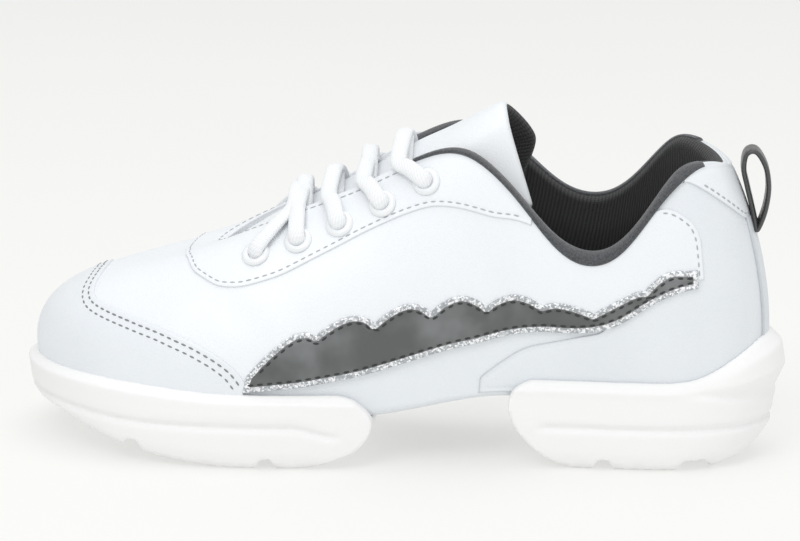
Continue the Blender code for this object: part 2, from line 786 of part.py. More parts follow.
def swept_solid(name, rings, stuff):
    """A body with flat ends from a list of equal rings, one for each section."""
    count = len(rings[0])
    vertices = [point for ring in rings for point in ring]
    faces = []
    for section in range(len(rings) - 1):
        for side in range(count):
            after = (side + 1) % count
            faces.append((section * count + side, section * count + after,
                          (section + 1) * count + after, (section + 1) * count + side))
    faces.append(tuple(range(count)))
    faces.append(tuple(range(len(vertices) - 1, len(vertices) - count - 1, -1)))
    return new_object(name, vertices, faces, stuff)


def eyelet_seats():
    """Middle and outward direction of each eyelet's place on the eyestay, from the top row down."""
    seats = []
    for number in range(EYELET_ROWS):
        row = mix(EYELET_FIRST, EYELET_LAST, number / (EYELET_ROWS - 1))
        for side in (1, -1):
            place = row if side > 0 else TURN - row
            rise = below_mouth(place, EYELET_BELOW_EDGE)
            out = normal(place, rise)
            at = off_wall(place, rise, LAYER_GAP + EYESTAY_LAYER)
            seats.append((number, side, place, at, out))
    return seats


def turned(profile, middle, axis, sides):
    """The rings that a profile of (radius, height) pairs makes when it is turned round an axis."""
    turn = Vector(axis).to_track_quat("Z", "Y")
    rings = []
    for radius, high in profile:
        ring = []
        for side in range(sides):
            angle = 2 * math.pi * side / sides
            local = Vector((radius * math.cos(angle), radius * math.sin(angle), high))
            ring.append(np.array(turn @ local) + middle)
        rings.append(ring)
    return rings


def make_eyelets(plastic, holed):
    """White eyelets: a domed flange on the eyestay and a barrel through the holes below it."""
    sides, bit_sides = 8, 6
    hole = EYELET_HOLE / 2
    outer = EYELET_ACROSS / 2
    barrel = hole + EYELET_WALL
    bore = (barrel + SEAM_GAP) / math.cos(math.pi / bit_sides)
    down = -(EYESTAY_LAYER + SEAM_GAP + WALL)
    for number, side, _, seat_at, out in eyelet_seats():
        seat_at = seat_at + out * SEAM_GAP
        profile = [(hole, down), (barrel, down), (barrel, 0.0), (outer, 0.0),
                   (0.80 * outer, EYELET_FLANGE), (hole, 0.6 * EYELET_FLANGE)]
        name = f"eyelet_{'lateral' if side > 0 else 'medial'}_{number + 1}"
        new_object(name, *round_solid(turned(profile, seat_at, out, sides)), plastic)
        bit_rings = turned([(bore, -0.01), (bore, 0.02)], seat_at, out, bit_sides)
        bit = swept_solid(name + "_hole", bit_rings, plastic)
        bit.hide_render = True
        bit.display_type = "WIRE"
        for body in holed:
            cut(body, bit, "DIFFERENCE")


def make_lace(cloth):
    """The lace's bars as one net: a cross between each two rows and a bar between the front pair."""
    half = LACE_THICKNESS / 2
    lift = EYELET_FLANGE + 4 * SEAM_GAP + half
    ends = {}
    for number, side, place, at, out in eyelet_seats():
        over_edge = off_wall(place, 1.0, LAYER_GAP + EYESTAY_LAYER + 5 * SEAM_GAP + half)
        ends[number, side] = (at + out * lift, over_edge, out)
    strands = []
    for number in range(EYELET_ROWS - 1):
        strands += [((number, 1), (number + 1, -1)), ((number, -1), (number + 1, 1))]
    last = EYELET_ROWS - 1
    strands.append(((last, 1), (last, -1)))
    net = None
    for index, (first, second) in enumerate(strands):
        start, edge, out = ends[first]
        finish, far_edge, far_out = ends[second]
        middle = (edge + far_edge) / 2 + np.array([0.0, 0.0, TONGUE_CROWN + 2 * SEAM_GAP])
        path = [start, edge, middle, far_edge, finish]
        rings = []
        steps, sides = 6, 4
        for step in range(steps + 1):
            share = step / steps
            at = through(path, share)
            ahead = through(path, min(share + 0.02, 1.0)) - through(path, max(share - 0.02, 0.0))
            ahead = ahead / np.linalg.norm(ahead)
            up = mix(out, far_out, share) + np.array([0.0, 0.0, 0.6 * math.sin(math.pi * share)])
            side = np.cross(ahead, up)
            side = side / np.linalg.norm(side)
            up = np.cross(side, ahead)
            ring = []
            for corner in range(sides):
                angle = 2 * math.pi * (corner + 0.5) / sides
                ring.append(at + side * math.cos(angle) * LACE_WIDTH * 0.68
                            + up * math.sin(angle) * half * 1.35)
            rings.append(ring)
        strand = swept_solid("lace" if net is None else f"strand_{index}", rings, cloth)
        if net is None:
            net = strand
            continue
        cut(net, strand, "UNION")
        strand.hide_render = True
        strand.display_type = "WIRE"
    net.data.shade_smooth()


def make_pull_loop(ribbon):
    """A folded ribbon sewn to the heel: up its back, over the top and down inside the fold."""
    stand = SEAM_GAP + TAB_LAYER + SEAM_GAP + LOOP_RIBBON / 2
    top = wall(0.0, 1.0)
    foot_rise = below_mouth(0.0, LOOP_FOOT)
    middle_rise = below_mouth(0.0, 0.55 * LOOP_FOOT)
    near_top = below_mouth(0.0, 0.12 * LOOP_FOOT)
    foot = off_wall(0.0, foot_rise, stand + LOOP_RIBBON / 2)
    inner = [off_wall(0.0, middle_rise, stand + 0.0006), off_wall(0.0, near_top, stand + 0.0008)]
    outer = [off_wall(0.0, middle_rise, LOOP_STAND_OFF), off_wall(0.0, near_top, LOOP_STAND_OFF + 0.001)]
    crest = top + np.array([-LOOP_STAND_OFF * 0.62, 0.0, LOOP_OVER_COLLAR])
    path = [foot, outer[0], outer[1], (outer[1] + crest) / 2 + [-0.0012, 0, 0.0012], crest,
            (inner[1] + crest) / 2 + [0.0006, 0, 0.0015], inner[1], inner[0]]
    count = 20
    closed = np.array(path)
    sections = []
    for step in range(count):
        place = step * len(path) / count
        at = round_spline(closed, place)
        ahead = round_spline(closed, place + 0.05) - round_spline(closed, place - 0.05)
        out = np.array([-ahead[2], 0.0, ahead[0]]) / np.linalg.norm(ahead)
        wide = np.array([0.0, LOOP_WIDTH / 2, 0.0])
        thick = out * LOOP_RIBBON / 2
        sections.append([at + thick + wide, at - thick + wide, at - thick - wide, at + thick - wide])
    rings = [[section[corner] for section in sections] for corner in range(4)]
    return new_object("pull_loop", *round_solid(rings), ribbon)


def main():
    for old in list(bpy.data.objects):
        bpy.data.objects.remove(old)
    leather = material("white leather", (0.80, 0.83, 0.87), 0.42)
    rubber = material("white rubber", (0.88, 0.88, 0.88), 0.55)
    lining = material("dark mesh lining", (0.02, 0.02, 0.02), 0.9)
    board = material("lasting cloth", (0.55, 0.57, 0.58), 0.85)
    gloss = material("dark gloss", (0.10, 0.11, 0.11), 0.3)
    felt = material("grey felt", (0.08, 0.085, 0.09), 0.95)
    plastic = material("white plastic", (0.85, 0.86, 0.87), 0.3)
    cloth = material("white lace", (0.82, 0.84, 0.85), 0.85)
    upper = make_upper(leather)
    make_vamp(leather)
    eyestay = make_eyestay(leather)
    make_heel(leather)
    make_bands(gloss)
    make_bindings(felt)
    make_eyelets(plastic, (upper, eyestay))
    make_lace(cloth)
    make_pull_loop(gloss)
    make_soles(rubber)
    make_plate("lasting_board", WALL + SEAM_GAP, BOARD, FLOOR_EASE, board)
    make_tongue(leather)
    make_plate("insole", WALL + 2 * SEAM_GAP + BOARD, INSOLE, FLOOR_EASE, lining)


main()
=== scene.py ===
# %% [markdown]
# This script dresses a left dance sneaker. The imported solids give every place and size.
# The leather, the mesh lining, the laces and the split sole are modelled over them here.

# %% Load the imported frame
import math
import random

import bpy
import numpy as np
from mathutils import Matrix, Vector
from mathutils.kdtree import KDTree


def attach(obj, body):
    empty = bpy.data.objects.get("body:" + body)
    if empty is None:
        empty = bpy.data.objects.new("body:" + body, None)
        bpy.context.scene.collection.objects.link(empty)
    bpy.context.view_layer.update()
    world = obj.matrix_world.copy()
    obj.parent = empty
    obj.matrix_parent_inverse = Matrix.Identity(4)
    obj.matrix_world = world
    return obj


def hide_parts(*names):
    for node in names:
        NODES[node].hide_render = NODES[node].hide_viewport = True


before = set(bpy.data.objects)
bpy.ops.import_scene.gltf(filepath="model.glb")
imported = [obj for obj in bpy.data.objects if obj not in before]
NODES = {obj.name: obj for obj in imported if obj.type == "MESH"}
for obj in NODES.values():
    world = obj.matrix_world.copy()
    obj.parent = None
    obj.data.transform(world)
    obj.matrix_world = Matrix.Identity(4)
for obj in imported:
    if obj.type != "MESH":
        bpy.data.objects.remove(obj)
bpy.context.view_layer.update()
random.seed(11)
print("frame loaded with", len(NODES), "nodes")

# %% [markdown]
# The camera stands where the photographer stood: beside the outer side of the foot, a little
# above the floor, with a long lens. A long lens keeps toe and heel at the same scale.

# %% Camera at the photograph's angle
TARGET = np.array([0.090, 0.0, 0.050])
CAMERA_DISTANCE = 1.15
AZIMUTH, ELEVATION, ROLL = (math.radians(angle) for angle in (184.0, 13.0, 0.9))
toward = np.array([math.sin(AZIMUTH) * math.cos(ELEVATION),
                   -math.cos(AZIMUTH) * math.cos(ELEVATION), math.sin(ELEVATION)])
level_right = np.cross(-toward, [0.0, 0.0, 1.0])
level_right = level_right / np.linalg.norm(level_right)
level_up = np.cross(level_right, -toward)
right = math.cos(ROLL) * level_right + math.sin(ROLL) * level_up
up = -math.sin(ROLL) * level_right + math.cos(ROLL) * level_up
camera_data = bpy.data.cameras.new("camera")
camera_data.lens = 144.9
camera_data.sensor_width = 36.0
camera_data.shift_x = -0.0075
camera_data.shift_y = 0.0394
camera = bpy.data.objects.new("camera", camera_data)
bpy.context.collection.objects.link(camera)
turn = Matrix((right, up, toward)).transposed()
camera.matrix_world = Matrix.Translation(TARGET + toward * CAMERA_DISTANCE) @ turn.to_4x4()
bpy.context.scene.camera = camera
bpy.context.scene.view_settings.view_transform = "Standard"
print("camera at", [round(value, 3) for value in camera.location])

# %% [markdown]
# The upper is drawn on ribs, from the edge of the sole up to the mouth of the shoe. These are
# the shoe's sizes and its table of ribs. A rib's place is counted in rows round the foot: 0 is
# the back seam, 13 the toe, and 26 the back seam again. Its rise is 0 at the sole, 1 at the mouth.

# %% Sizes and ribs of the shoe
LENGTH = 0.270
BALL_WIDTH = 0.0890
HEEL_WIDTH = 0.0580
HEEL_HEIGHT = 0.0800
INSTEP_HEIGHT = 0.0880
HEEL_BEHIND = 0.045
MEDIAL_LIFT = 0.0090
THROAT_LIFT = 0.0018
SEAT_HEIGHT = 0.024
BALL_DROP = 0.0070
TOE_SPRING = 0.0200
WALL = 0.0022
COLLAR_PAD = 0.0032
MARGIN = 0.009
BINDING_DEPTH = 0.0034
RIBS = (
    (0.033, 0.00, 0.00, 0.083, 0.00, 0.994, 0.241, 0.325, 0.397, 0.269),
    (0.067, 0.66, 0.64, 0.104, 0.55, 1.031, 0.224, 0.325, 0.310, 0.275),
    (0.137, 0.98, 0.96, 0.152, 0.92, 0.992, 0.190, 0.300, 0.172, 0.260),
    (0.219, 1.02, 1.00, 0.222, 1.08, 0.655, 0.172, 0.240, 0.100, 0.190),
    (0.307, 1.01, 0.93, 0.290, 1.06, 0.632, 0.165, 0.240, 0.120, 0.190),
    (0.396, 1.00, 0.84, 0.362, 0.92, 0.852, 0.145, 0.250, 0.200, 0.230),
    (0.485, 0.98, 0.80, 0.426, 0.71, 1.000, 0.115, 0.300, 0.260, 0.220),
    (0.574, 1.00, 0.86, 0.493, 0.53, 0.968, 0.105, 0.320, 0.290, 0.190),
    (0.663, 1.01, 0.92, 0.552, 0.42, 0.880, 0.095, 0.310, 0.320, 0.160),
    (0.748, 1.00, 0.945, 0.611, 0.35, 0.796, 0.090, 0.280, 0.370, 0.130),
    (0.830, 0.92, 0.950, 0.663, 0.30, 0.722, 0.095, 0.265, 0.450, 0.110),
    (0.900, 0.72, 0.860, 0.704, 0.24, 0.656, 0.125, 0.290, 0.600, 0.095),
    (0.957, 0.36, 0.640, 0.728, 0.135, 0.610, 0.205, 0.335, 0.860, 0.095),
    (0.982, -0.13, 0.13, 0.737, 0.00, 0.590, 0.255, 0.355, 1.060, 0.110),
)
TURN = 2 * (len(RIBS) - 1)
UP = np.array([0.0, 0.0, 1.0])


def smooth_step(low, high, value):
    share = np.clip((np.asarray(value, float) - low) / (high - low), 0.0, 1.0)
    return share * share * (3 - 2 * share)


def unit(vectors):
    return vectors / np.linalg.norm(vectors, axis=-1, keepdims=True)


def share_of(x):
    return (x + HEEL_BEHIND) / LENGTH


def along(share):
    return share * LENGTH - HEEL_BEHIND


def half_width(share):
    return (HEEL_WIDTH + (BALL_WIDTH - HEEL_WIDTH) * smooth_step(0.30, 0.72, share)) / 2


def height(share):
    return HEEL_HEIGHT + (INSTEP_HEIGHT - HEEL_HEIGHT) * smooth_step(0.15, 0.42, share)


def seat(share):
    """The height of the upper's lower edge."""
    ball = BALL_DROP * smooth_step(0.36, 0.55, share)
    return SEAT_HEIGHT - ball + 0.25 * TOE_SPRING * smooth_step(0.70, 1.0, share)


def rib(row, side):
    """Foot, mouth and handles of one rib."""
    (foot_x, foot_out, foot_in, mouth_x, mouth_out, mouth_up,
     low_out, low_up, top_out, top_down) = RIBS[row]
    wide, tall = half_width(foot_x), height(mouth_x)
    out = foot_out if side > 0 else foot_in
    foot = (along(foot_x), side * out * wide, seat(foot_x))
    lift = 0.0
    if side < 0:
        lift = MEDIAL_LIFT * smooth_step(0.10, 0.21, mouth_x) * (1 - smooth_step(0.27, 0.43, mouth_x))
        lift += THROAT_LIFT * smooth_step(0.30, 0.42, mouth_x) * (1 - smooth_step(0.50, 0.62, mouth_x))
    mouth = (along(mouth_x), side * mouth_out * half_width(mouth_x),
             seat(mouth_x) + mouth_up * tall + lift)
    return foot, mouth, (low_out * wide, low_up * tall, top_out * wide, top_down * tall)


ribs_round = [rib(row, 1) for row in range(len(RIBS))]
ribs_round += [rib(row, -1) for row in range(len(RIBS) - 2, 0, -1)]
FEET, MOUTHS, HANDLES = (np.array(part, float) for part in zip(*ribs_round))
print("ribs round the foot:", len(FEET))

# %% [markdown]
# A table gives only 26 ribs. A smooth curve through them gives the wall at any place and rise.
# The wall is read once on a fine net, softened along the foot, and read again from that net by
# every piece. All panels therefore follow the same shape, whatever their outline.


# %% The wall of the upper as one smooth net
def cubic_weights(t):
    return (0.5 * (-t + 2 * t ** 2 - t ** 3), 0.5 * (2 - 5 * t ** 2 + 3 * t ** 3),
            0.5 * (t + 4 * t ** 2 - 3 * t ** 3), 0.5 * (-t ** 2 + t ** 3))


def round_spline(ring, place):
    place = np.asarray(place, float)
    start = np.floor(place).astype(int)
    share = (place - start)[..., None]
    return sum(weight * ring[(start + step - 1) % len(ring)]
               for step, weight in enumerate(cubic_weights(share)))


def outward(place):
    """The level direction out of the foot's outline."""
    ahead = round_spline(FEET, place + 0.05) - round_spline(FEET, place - 0.05)
    return unit(np.stack([-ahead[..., 1], ahead[..., 0], 0 * ahead[..., 0]], -1))


def seated(points, lift):
    """The points moved straight up or down to a height over the seat."""
    moved = np.array(points, float)
    moved[..., 2] = seat(share_of(moved[..., 0])) + lift
    return moved


def raw_wall(place, rise):
    foot = seated(round_spline(FEET, place), 0.0)
    mouth = round_spline(MOUTHS, place)
    handles = round_spline(HANDLES, place)
    out = outward(place)
    lean = unit(out + (foot - mouth) * [1, 1, 0] / (0.5 * BALL_WIDTH))
    low = foot + out * handles[..., 0:1] + UP * handles[..., 1:2]
    top = mouth + lean * handles[..., 2:3] - UP * handles[..., 3:4]
    rise = np.asarray(rise, float)[..., None]
    rest = 1 - rise
    return foot * rest ** 3 + 3 * low * rise * rest ** 2 + 3 * top * rise ** 2 * rest + mouth * rise ** 3


NET_ROUND, NET_UP = 520, 80
SOFTEN = 5.0
net_place, net_rise = np.meshgrid(np.arange(NET_ROUND) * TURN / NET_ROUND,
                                  np.arange(-1, NET_UP + 2) / NET_UP, indexing="ij")
raw_net = raw_wall(net_place, net_rise)
steps = np.arange(-18, 19)
kernel = np.exp(-0.5 * (steps / SOFTEN) ** 2)
NET = sum(weight * np.roll(raw_net, step, axis=0) for step, weight in zip(steps, kernel / kernel.sum()))
print("net of", NET.shape[0], "by", NET.shape[1], "points")


def read_net(net, place, rise):
    """Reads a net with a smooth curve both ways."""
    u = (np.asarray(place, float) % TURN) * NET_ROUND / TURN
    v = np.clip(rise, 0.0, 1.0) * NET_UP
    start_u = np.floor(u).astype(int)
    start_v = np.minimum(np.floor(v).astype(int), NET_UP - 1)
    weights_u = cubic_weights(u - start_u)
    weights_v = cubic_weights(v - start_v)
    total = 0.0
    for i in range(4):
        for j in range(4):
            at = net[(start_u + i - 1) % NET_ROUND, start_v + j]
            total = total + at * (weights_u[i] * weights_v[j])[..., None]
    return total


# %% [markdown]
# Worn leather isn't a perfect sheet. It sinks a little where the ball of the foot bends the vamp,
# behind the ankle and over the counter. These are long soft troughs and ridges in the shoe's own
# sizes, and they move the wall itself, so that all layers fold together.

# %% Soft creases and hollows
# Each line: side of the foot, points as (row, rise), depth and half width in metres
CREASES = (
    (1, ((7.2, 0.20), (7.8, 0.34), (8.4, 0.50), (9.0, 0.62)), 0.0007, 0.0080),
    (1, ((8.0, 0.24), (8.7, 0.38), (9.4, 0.50), (10.2, 0.60)), 0.0006, 0.0065),
    (1, ((4.2, 0.30), (4.7, 0.52), (5.0, 0.76)), 0.0006, 0.0085),
    (1, ((2.2, 0.34), (2.5, 0.56), (2.8, 0.80)), 0.0005, 0.0075),
    (1, ((10.6, 0.30), (11.6, 0.36), (13.0, 0.40)), -0.0004, 0.0090),
    (1, ((5.4, 0.16), (6.2, 0.24), (7.0, 0.30)), 0.0007, 0.0100),
    (-1, ((7.4, 0.22), (8.0, 0.36), (8.6, 0.50), (9.2, 0.60)), 0.0008, 0.0080),
    (-1, ((8.2, 0.22), (8.9, 0.38), (9.6, 0.50)), 0.0005, 0.0060),
    (-1, ((4.4, 0.26), (4.8, 0.50), (5.1, 0.74)), 0.0007, 0.0090),
    (-1, ((2.3, 0.30), (2.5, 0.56), (2.7, 0.78)), 0.0005, 0.0080),
)


def net_normals(net):
    across = np.roll(net, -1, axis=0) - np.roll(net, 1, axis=0)
    upward = np.gradient(net, axis=1)
    return unit(np.cross(upward, across))


normals = net_normals(NET)
for side, points, depth, width in CREASES:
    line = np.array([(row if side > 0 else TURN - row, rise) for row, rise in points])
    dense = np.linspace(0, len(line) - 1, 60)
    line_place = np.interp(dense, range(len(line)), line[:, 0])
    line_rise = np.interp(dense, range(len(line)), line[:, 1])
    centre = read_net(NET, line_place, line_rise)
    fade = np.sin(np.pi * np.linspace(0.06, 0.94, 60))
    push = np.zeros(NET.shape[:2])
    for point, strength in zip(centre, fade):
        far = np.linalg.norm(NET - point, axis=-1)
        push = np.maximum(push, strength * np.exp(-(far / width) ** 2))
    NET = NET - normals * (depth * push)[..., None]
NORMALS = net_normals(NET)
print("creases pressed:", len(CREASES))


def skin(place, rise, off=0.0):
    """A point that stands off the upper's outside by a distance."""
    return read_net(NET, place, rise) + unit(read_net(NORMALS, place, rise)) * np.asarray(off)[..., None]


def row_of(place):
    turned = np.asarray(place, float) % TURN
    return np.minimum(turned, TURN - turned)


def wall_thickness(place, rise):
    """Leather and lining, thicker where the collar is padded."""
    behind = 1 - smooth_step(5.2, 6.6, row_of(place))
    return WALL + COLLAR_PAD * behind * smooth_step(0.45, 0.80, rise)


def below_mouth(place, distance):
    """How far up a rib the point lies that is a distance short of the mouth."""
    place = np.asarray(place, float)
    rises = np.linspace(0.3, 1.0, 141)
    flat = place.ravel()
    points = skin(np.repeat(flat[:, None], 141, 1), np.repeat(rises[None], len(flat), 0))
    short = np.linalg.norm(points - points[:, -1:], axis=-1)
    distance = np.broadcast_to(distance, place.shape).ravel()
    found = [np.interp(-far, -gaps, rises) for far, gaps in zip(distance, short)]
    return np.array(found).reshape(place.shape)


# %% [markdown]
# Most pieces start as a flat grid whose points are then laid on the shoe. A grid has clean rows
# and columns, so a panel's edge can be rolled over in a few rows, and threads run along the rows.


# %% Helpers for meshes
def only(piece):
    """Selects one object alone and makes it active."""
    bpy.ops.object.select_all(action="DESELECT")
    piece.select_set(True)
    bpy.context.view_layer.objects.active = piece


def joined(pieces):
    """Joins pieces into the first of them."""
    bpy.ops.object.select_all(action="DESELECT")
    for piece in pieces:
        piece.select_set(True)
    bpy.context.view_layer.objects.active = pieces[0]
    bpy.ops.object.join()
    return pieces[0]

def flat_grid(name, columns, rows):
    """A flat grid, with the column and the row of each of its points."""
    bpy.ops.object.select_all(action="DESELECT")
    bpy.ops.mesh.primitive_grid_add(x_subdivisions=columns, y_subdivisions=rows, size=2.0)
    piece = bpy.context.object
    piece.name = name
    piece.data.name = name
    points = np.empty(len(piece.data.vertices) * 3)
    piece.data.vertices.foreach_get("co", points)
    points = points.reshape(-1, 3)
    column = np.rint((points[:, 0] + 1) / 2 * columns).astype(int)
    row = np.rint((points[:, 1] + 1) / 2 * rows).astype(int)
    return piece, column, row


def store_edge(piece, millimetres):
    """Stores how far each point is from the cut edge, for the finishes."""
    stored = piece.data.attributes.new("edge_mm", "FLOAT", "POINT")
    stored.data.foreach_set("value", np.ascontiguousarray(millimetres, float))


def lay(piece, points):
    piece.data.vertices.foreach_set("co", np.ascontiguousarray(points, float).ravel())
    piece.data.update()


def set_uv(piece, u_by_vertex, v_by_vertex):
    """Writes the piece's map from one value for each point. Values are metres on the surface."""
    loops = np.empty(len(piece.data.loops), int)
    piece.data.loops.foreach_get("vertex_index", loops)
    layer = piece.data.uv_layers.active or piece.data.uv_layers.new(name="surface")
    layer.name = "surface"
    pairs = np.stack([u_by_vertex[loops], v_by_vertex[loops]], 1)
    layer.data.foreach_set("uv", pairs.ravel())


def apply(piece, kind, **settings):
    """Adds one modifier, sets it and applies it."""
    only(piece)
    modifier = piece.modifiers.new(kind.lower(), kind)
    for key, value in settings.items():
        setattr(modifier, key, value)
    bpy.ops.object.modifier_apply(modifier=modifier.name)


def clean(piece, merge=1e-6, holes=True):
    """Merges doubles, closes open ends and turns the faces outwards."""
    only(piece)
    bpy.ops.object.mode_set(mode="EDIT")
    bpy.ops.mesh.select_all(action="SELECT")
    bpy.ops.mesh.remove_doubles(threshold=merge)
    if holes:
        bpy.ops.mesh.fill_holes(sides=0)
        bpy.ops.mesh.select_all(action="SELECT")
    bpy.ops.mesh.normals_make_consistent(inside=False)
    bpy.ops.object.mode_set(mode="OBJECT")
    bpy.ops.object.shade_smooth()


def face_rows(piece, row_by_vertex):
    """The lowest grid row that each face touches."""
    return np.array([min(row_by_vertex[index] for index in face.vertices) for face in piece.data.polygons])


def facing(piece, directions):
    """Turns an open sheet's faces over if they point against the given direction at each point."""
    piece.data.update()
    votes = 0.0
    for index in range(0, len(piece.data.polygons), 7):
        face = piece.data.polygons[index]
        votes += float(np.dot(face.normal, directions[face.vertices[0]]))
    if votes < 0:
        only(piece)
        bpy.ops.object.mode_set(mode="EDIT")
        bpy.ops.mesh.select_all(action="SELECT")
        bpy.ops.mesh.flip_normals()
        bpy.ops.object.mode_set(mode="OBJECT")


def smooth_path(points, shares, closed=False):
    """A smooth curve through points. Shares run from 0 to 1."""
    points = np.asarray(points, float)
    count = len(points) if closed else len(points) - 1
    place = np.asarray(shares, float) * count
    start = np.clip(np.floor(place).astype(int), 0, count - 1)
    t = (place - start)[..., None]
    if t.ndim < points.ndim:
        t = t.reshape(t.shape + (1,) * (points.ndim - t.ndim))
    total = 0.0
    for step, weight in enumerate(cubic_weights(t)):
        index = start + step - 1
        index = index % len(points) if closed else np.clip(index, 0, len(points) - 1)
        total = total + weight * points[index]
    return total


def lengths_of(points):
    steps_between = np.linalg.norm(np.diff(points, axis=0), axis=1)
    return np.concatenate([[0.0], np.cumsum(steps_between)])


print("helpers ready")

# %% [markdown]
# Effects that several finishes share are node groups, as a maker keeps one sheet of grain for all
# the white leather. Each group has named inputs and outputs, and the shader's own numbers stay in
# the material.


# %% Helpers and groups for finishes
def new_group(name, inputs, outputs):
    tree = bpy.data.node_groups.new(name, "ShaderNodeTree")
    for label, kind, value in inputs:
        socket = tree.interface.new_socket(name=label, in_out="INPUT", socket_type=kind)
        socket.default_value = value
    for label, kind in outputs:
        tree.interface.new_socket(name=label, in_out="OUTPUT", socket_type=kind)
    return tree, tree.nodes.new("NodeGroupInput"), tree.nodes.new("NodeGroupOutput")


def node(tree, kind, values=None, **settings):
    made = tree.nodes.new(kind)
    for key, value in settings.items():
        setattr(made, key, value)
    for key, value in (values or {}).items():
        made.inputs[key].default_value = value
    return made


def maths(tree, operation, first, second=None):
    made = node(tree, "ShaderNodeMath", operation=operation)
    for index, value in enumerate((first, second)):
        if value is None:
            continue
        if isinstance(value, (int, float)):
            made.inputs[index].default_value = value
        else:
            tree.links.new(value, made.inputs[index])
    return made.outputs[0]


def ramp(tree, value, low, high, out_low=0.0, out_high=1.0):
    made = node(tree, "ShaderNodeMapRange", {1: low, 2: high, 3: out_low, 4: out_high},
                interpolation_type="SMOOTHSTEP")
    tree.links.new(value, made.inputs[0])
    return made.outputs[0]


def mix_colours(tree, factor, first, second):
    made = node(tree, "ShaderNodeMix", data_type="RGBA")
    for index, value in ((0, factor), (6, first), (7, second)):
        if isinstance(value, tuple):
            made.inputs[index].default_value = (*value, 1.0)
        elif isinstance(value, (int, float)):
            made.inputs[index].default_value = value
        else:
            tree.links.new(value, made.inputs[index])
    return made.outputs[2]


tree, group_in, group_out = new_group(
    "leather grain", [("Scale", "NodeSocketFloat", 900.0), ("Depth", "NodeSocketFloat", 1.0)],
    [("Height", "NodeSocketFloat"), ("Patches", "NodeSocketFloat")])
coordinates = node(tree, "ShaderNodeTexCoord")
cells = node(tree, "ShaderNodeTexVoronoi", {"Randomness": 1.0}, feature="DISTANCE_TO_EDGE")
tree.links.new(coordinates.outputs["Object"], cells.inputs["Vector"])
tree.links.new(group_in.outputs["Scale"], cells.inputs["Scale"])
fine = node(tree, "ShaderNodeTexNoise", {"Scale": 2600.0, "Detail": 3.0})
tree.links.new(coordinates.outputs["Object"], fine.inputs["Vector"])
patches = node(tree, "ShaderNodeTexNoise", {"Scale": 38.0, "Detail": 2.0, "Roughness": 0.55})
tree.links.new(coordinates.outputs["Object"], patches.inputs["Vector"])
grain = maths(tree, "ADD", ramp(tree, cells.outputs["Distance"], 0.0, 0.25),
              maths(tree, "MULTIPLY", fine.outputs[0], 0.35))
tree.links.new(maths(tree, "MULTIPLY", grain, group_in.outputs["Depth"]), group_out.inputs["Height"])
tree.links.new(patches.outputs[0], group_out.inputs["Patches"])
LEATHER_GRAIN = tree

tree, group_in, group_out = new_group(
    "handling marks", [("Amount", "NodeSocketFloat", 0.5)],
    [("Marks", "NodeSocketFloat"), ("Low Dust", "NodeSocketFloat")])
coordinates = node(tree, "ShaderNodeTexCoord")
stretched = node(tree, "ShaderNodeMapping", {"Scale": (60.0, 60.0, 420.0), "Rotation": (0.2, 0.5, 0.1)})
tree.links.new(coordinates.outputs["Object"], stretched.inputs["Vector"])
rubs = node(tree, "ShaderNodeTexNoise", {"Scale": 1.0, "Detail": 4.0, "Roughness": 0.7})
tree.links.new(stretched.outputs[0], rubs.inputs["Vector"])
marks = ramp(tree, rubs.outputs[0], 0.62, 0.80)
split = node(tree, "ShaderNodeSeparateXYZ")
tree.links.new(coordinates.outputs["Object"], split.inputs[0])
dust_noise = node(tree, "ShaderNodeTexNoise", {"Scale": 160.0, "Detail": 3.0})
tree.links.new(coordinates.outputs["Object"], dust_noise.inputs["Vector"])
low_dust = maths(tree, "MULTIPLY", ramp(tree, split.outputs["Z"], 0.005, 0.0, 0.0, 1.0),
                 ramp(tree, dust_noise.outputs[0], 0.35, 0.7))
tree.links.new(maths(tree, "MULTIPLY", marks, group_in.outputs["Amount"]), group_out.inputs["Marks"])
tree.links.new(maths(tree, "MULTIPLY", low_dust, group_in.outputs["Amount"]), group_out.inputs["Low Dust"])
HANDLING_MARKS = tree

tree, group_in, group_out = new_group(
    "woven threads", [("Across", "NodeSocketFloat", 1400.0), ("Along", "NodeSocketFloat", 1400.0),
                      ("Slant", "NodeSocketFloat", 0.0)],
    [("Height", "NodeSocketFloat"), ("Fibre", "NodeSocketFloat")])
surface = node(tree, "ShaderNodeUVMap", uv_map="surface")
split = node(tree, "ShaderNodeSeparateXYZ")
tree.links.new(surface.outputs[0], split.inputs[0])
slanted = maths(tree, "ADD", split.outputs["X"],
                maths(tree, "MULTIPLY", split.outputs["Y"], group_in.outputs["Slant"]))
rib_wave = maths(tree, "ABSOLUTE", maths(tree, "SINE", maths(tree, "MULTIPLY", slanted,
                                                             group_in.outputs["Across"])))
knit_wave = maths(tree, "ABSOLUTE", maths(tree, "SINE", maths(tree, "MULTIPLY", split.outputs["Y"],
                                                              group_in.outputs["Along"])))
woven = maths(tree, "ADD", maths(tree, "MULTIPLY", rib_wave, 0.7), maths(tree, "MULTIPLY", knit_wave, 0.3))
tree.links.new(woven, group_out.inputs["Height"])
fibres = node(tree, "ShaderNodeTexNoise", {"Scale": 3200.0, "Detail": 2.0})
coordinates = node(tree, "ShaderNodeTexCoord")
tree.links.new(coordinates.outputs["Object"], fibres.inputs["Vector"])
tree.links.new(fibres.outputs[0], group_out.inputs["Fibre"])
WOVEN_THREADS = tree
print("shared effects:", len(bpy.data.node_groups))


def start_material(name):
    made = bpy.data.materials.new(name)
    made.use_nodes = True
    tree = made.node_tree
    return made, tree, tree.nodes["Principled BSDF"]


def use(tree, group, **values):
    made = node(tree, "ShaderNodeGroup", node_tree=group)
    for key, value in values.items():
        made.inputs[key.replace("_", " ")].default_value = value
    return made


def bump(tree, shader, height_socket, distance, strength=1.0):
    made = node(tree, "ShaderNodeBump", {"Strength": strength, "Distance": distance})
    tree.links.new(height_socket, made.inputs["Height"])
    tree.links.new(made.outputs[0], shader.inputs["Normal"])


